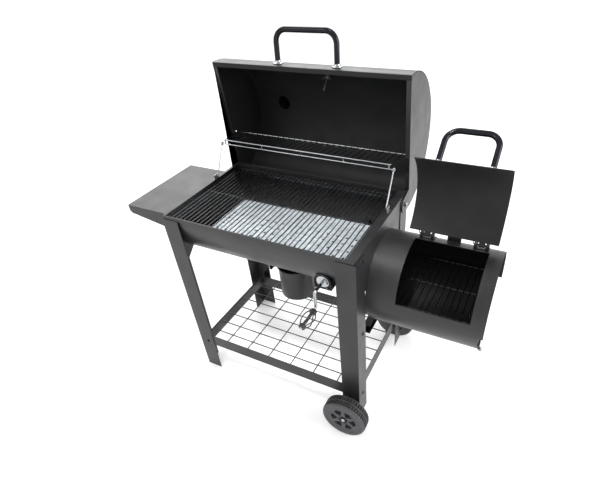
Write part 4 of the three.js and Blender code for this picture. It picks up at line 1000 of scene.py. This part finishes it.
def boltAt(place, axis, across=5.6, height=4.0):
    axis = unit(np.asarray(axis, float))
    start = np.asarray(place, float)
    reference = (0, 0, 1) if abs(axis[2]) < 0.9 else (1, 0, 0)
    nut = carried([start, start + axis * height * 0.8, start + axis * height], circle(across, 6), reference,
                  scale=[1, 1, 0.84])
    washer = turned([(0, 0), (across + 2, 0), (across + 2, 0.9), (0, 0.9)], start, axis, 24)
    return join(nut, washer)


legBolts, blackBolts = [], []
legFace, legSide = 200.0, 322.6
for y in (-153, 153):
    blackBolts.append(boltAt((legSide, y, 648), (1, 0, 0), 4.6, 3.2))
for side in (-1, 1):
    for end in (-1, 1):
        blackBolts.append(boltAt((side * legSide, end * 162, 389), (side, 0, 0), 4.2, 3.0))
        blackBolts.append(boltAt((side * legSide, end * 170, 122), (side, 0, 0), 4.2, 3.0))
        blackBolts.append(boltAt((-290 if side < 0 else 285, end * legFace, 136 if side < 0 else 116), (0, end, 0),
                                 4.2, 3.0))
makePiece("cartBoltsBlack", join(*blackBolts), mattBlack, "cart")
for x in (198.5, 223.5):
    legBolts.append(screwAt((x, -180.0, 545.5), (0, -1, 0), 2.2, 1.4))
for side in (-1, 1):
    for y in (-44, 44):
        legBolts.append(screwAt((ash["x"] + side * 68, y, 462), (side, 0, 0)))
makePiece("cartScrews", join(*legBolts), zincPlate, "cart")

hatchScrews = []
for place in hatch["places"]:
    for degrees in (80.5, 86):
        head = onDrum(turned(roundScrew(2.6, 1.6), (place, 0, 0), sides=18), hatch["outer"] + 2, degrees, box["axis"])
        hatchScrews.append(head)
makePiece("hatchScrews", openedHatch(join(*hatchScrews)), brightChrome, "hatch")
print("fasteners")

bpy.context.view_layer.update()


# ---- floor, light and camera ----
def plainFloor():
    floorSheet = bpy.data.meshes.new("floorSheet")
    reach = 40
    floorSheet.from_pydata([(-reach, -reach, 0), (reach, -reach, 0), (reach, reach, 0), (-reach, reach, 0)], [],
                           [(0, 1, 2, 3)])
    floorPiece = bpy.data.objects.new("studioFloor", floorSheet)
    bpy.context.scene.collection.objects.link(floorPiece)
    material, tree, shader, place = newSurface("paleFloor")
    shader.inputs["Base Color"].default_value = (0.9, 0.9, 0.9, 1)
    shader.inputs["Roughness"].default_value = 0.9
    seen = addNode(tree, "ShaderNodeLightPath").outputs["Is Camera Ray"]
    shader.inputs["Emission Color"].default_value = (1, 1, 1, 1)
    tree.links.new(ramp(tree, seen, glow["bounce"], glow["floor"], 0, 1), shader.inputs["Emission Strength"])
    floorSheet.materials.append(material)


def areaLight(name, place, target, size, power, spread=180):
    lamp = bpy.data.lights.new(name, "AREA")
    lamp.shape, lamp.size, lamp.size_y, lamp.energy = "RECTANGLE", size[0], size[1], power
    lamp.spread = math.radians(spread)
    holder = bpy.data.objects.new(name, lamp)
    holder.location = place
    holder.rotation_euler = (Vector(target) - Vector(place)).to_track_quat("-Z", "Y").to_euler()
    bpy.context.scene.collection.objects.link(holder)


glow = {"floor": 0.26, "bounce": 0.15, "sky": 0.85, "seenSky": 1.0}
# Three soft boxes, and a narrow one from above that reaches the coal trays between the grate rods.
lights = {"rightBox": {"from": (3.2, 0.3, 1.1), "size": (2.4, 2.4), "power": 80},
          "backBox": {"from": (-1.9, 2.6, 2.4), "size": (3.6, 2.6), "power": 85},
          "leftBox": {"from": (-1.7, -2.2, 2.6), "size": (1.2, 1.2), "power": 10},
          "topBox": {"from": (0.2, -0.9, 2.6), "to": (0.02, 0.0, 0.05), "size": (0.7, 0.5), "power": 1.3,
                     "spread": 12}}
plainFloor()
middle = Vector((origin[0] * mm, origin[1] * mm, 0.55))
for name, light in lights.items():
    aim = middle + Vector(light.get("to", (0, 0, 0)))
    areaLight(name, middle + Vector(light["from"]), aim, light["size"], light["power"], light.get("spread", 180))
world = bpy.data.worlds.new("studioAir")
world.use_nodes = True
sky = world.node_tree
seenDirectly = addNode(sky, "ShaderNodeLightPath").outputs["Is Camera Ray"]
strength = ramp(sky, seenDirectly, glow["sky"], glow["seenSky"], 0, 1)
sky.nodes["Background"].inputs["Color"].default_value = (1, 1, 1, 1)
sky.links.new(strength, sky.nodes["Background"].inputs["Strength"])
bpy.context.scene.world = world
bpy.context.scene.view_settings.view_transform = "Standard"

eye = {"x": 693.8, "y": -1009.8, "z": 1358.0, "az": 29.49, "el": 37.53, "roll": -4.61, "lens": 27.08,
       "shiftX": -0.042, "shiftY": 0.0428}
az, el, roll = (math.radians(eye[k]) for k in ("az", "el", "roll"))
forward = Vector((-math.sin(az) * math.cos(el), math.cos(az) * math.cos(el), -math.sin(el)))
right = forward.cross(Vector((0, 0, 1))).normalized()
up = right.cross(forward)
c, s = math.cos(roll), math.sin(roll)
right, up = right * c + up * s, up * c - right * s
lensData = bpy.data.cameras.new("mainEye")
lensData.lens, lensData.sensor_width = eye["lens"], 36
lensData.shift_x, lensData.shift_y = eye["shiftX"], eye["shiftY"]
viewer = bpy.data.objects.new("mainEye", lensData)
bpy.context.scene.collection.objects.link(viewer)
turn = np.array([list(right), list(up), list(-forward)]).T
viewer.matrix_world = Matrix.Translation(Vector((np.array([eye["x"], eye["y"], eye["z"]]) + origin) * mm)) @ \
    Matrix(turn.tolist()).to_4x4()
bpy.context.scene.camera = viewer
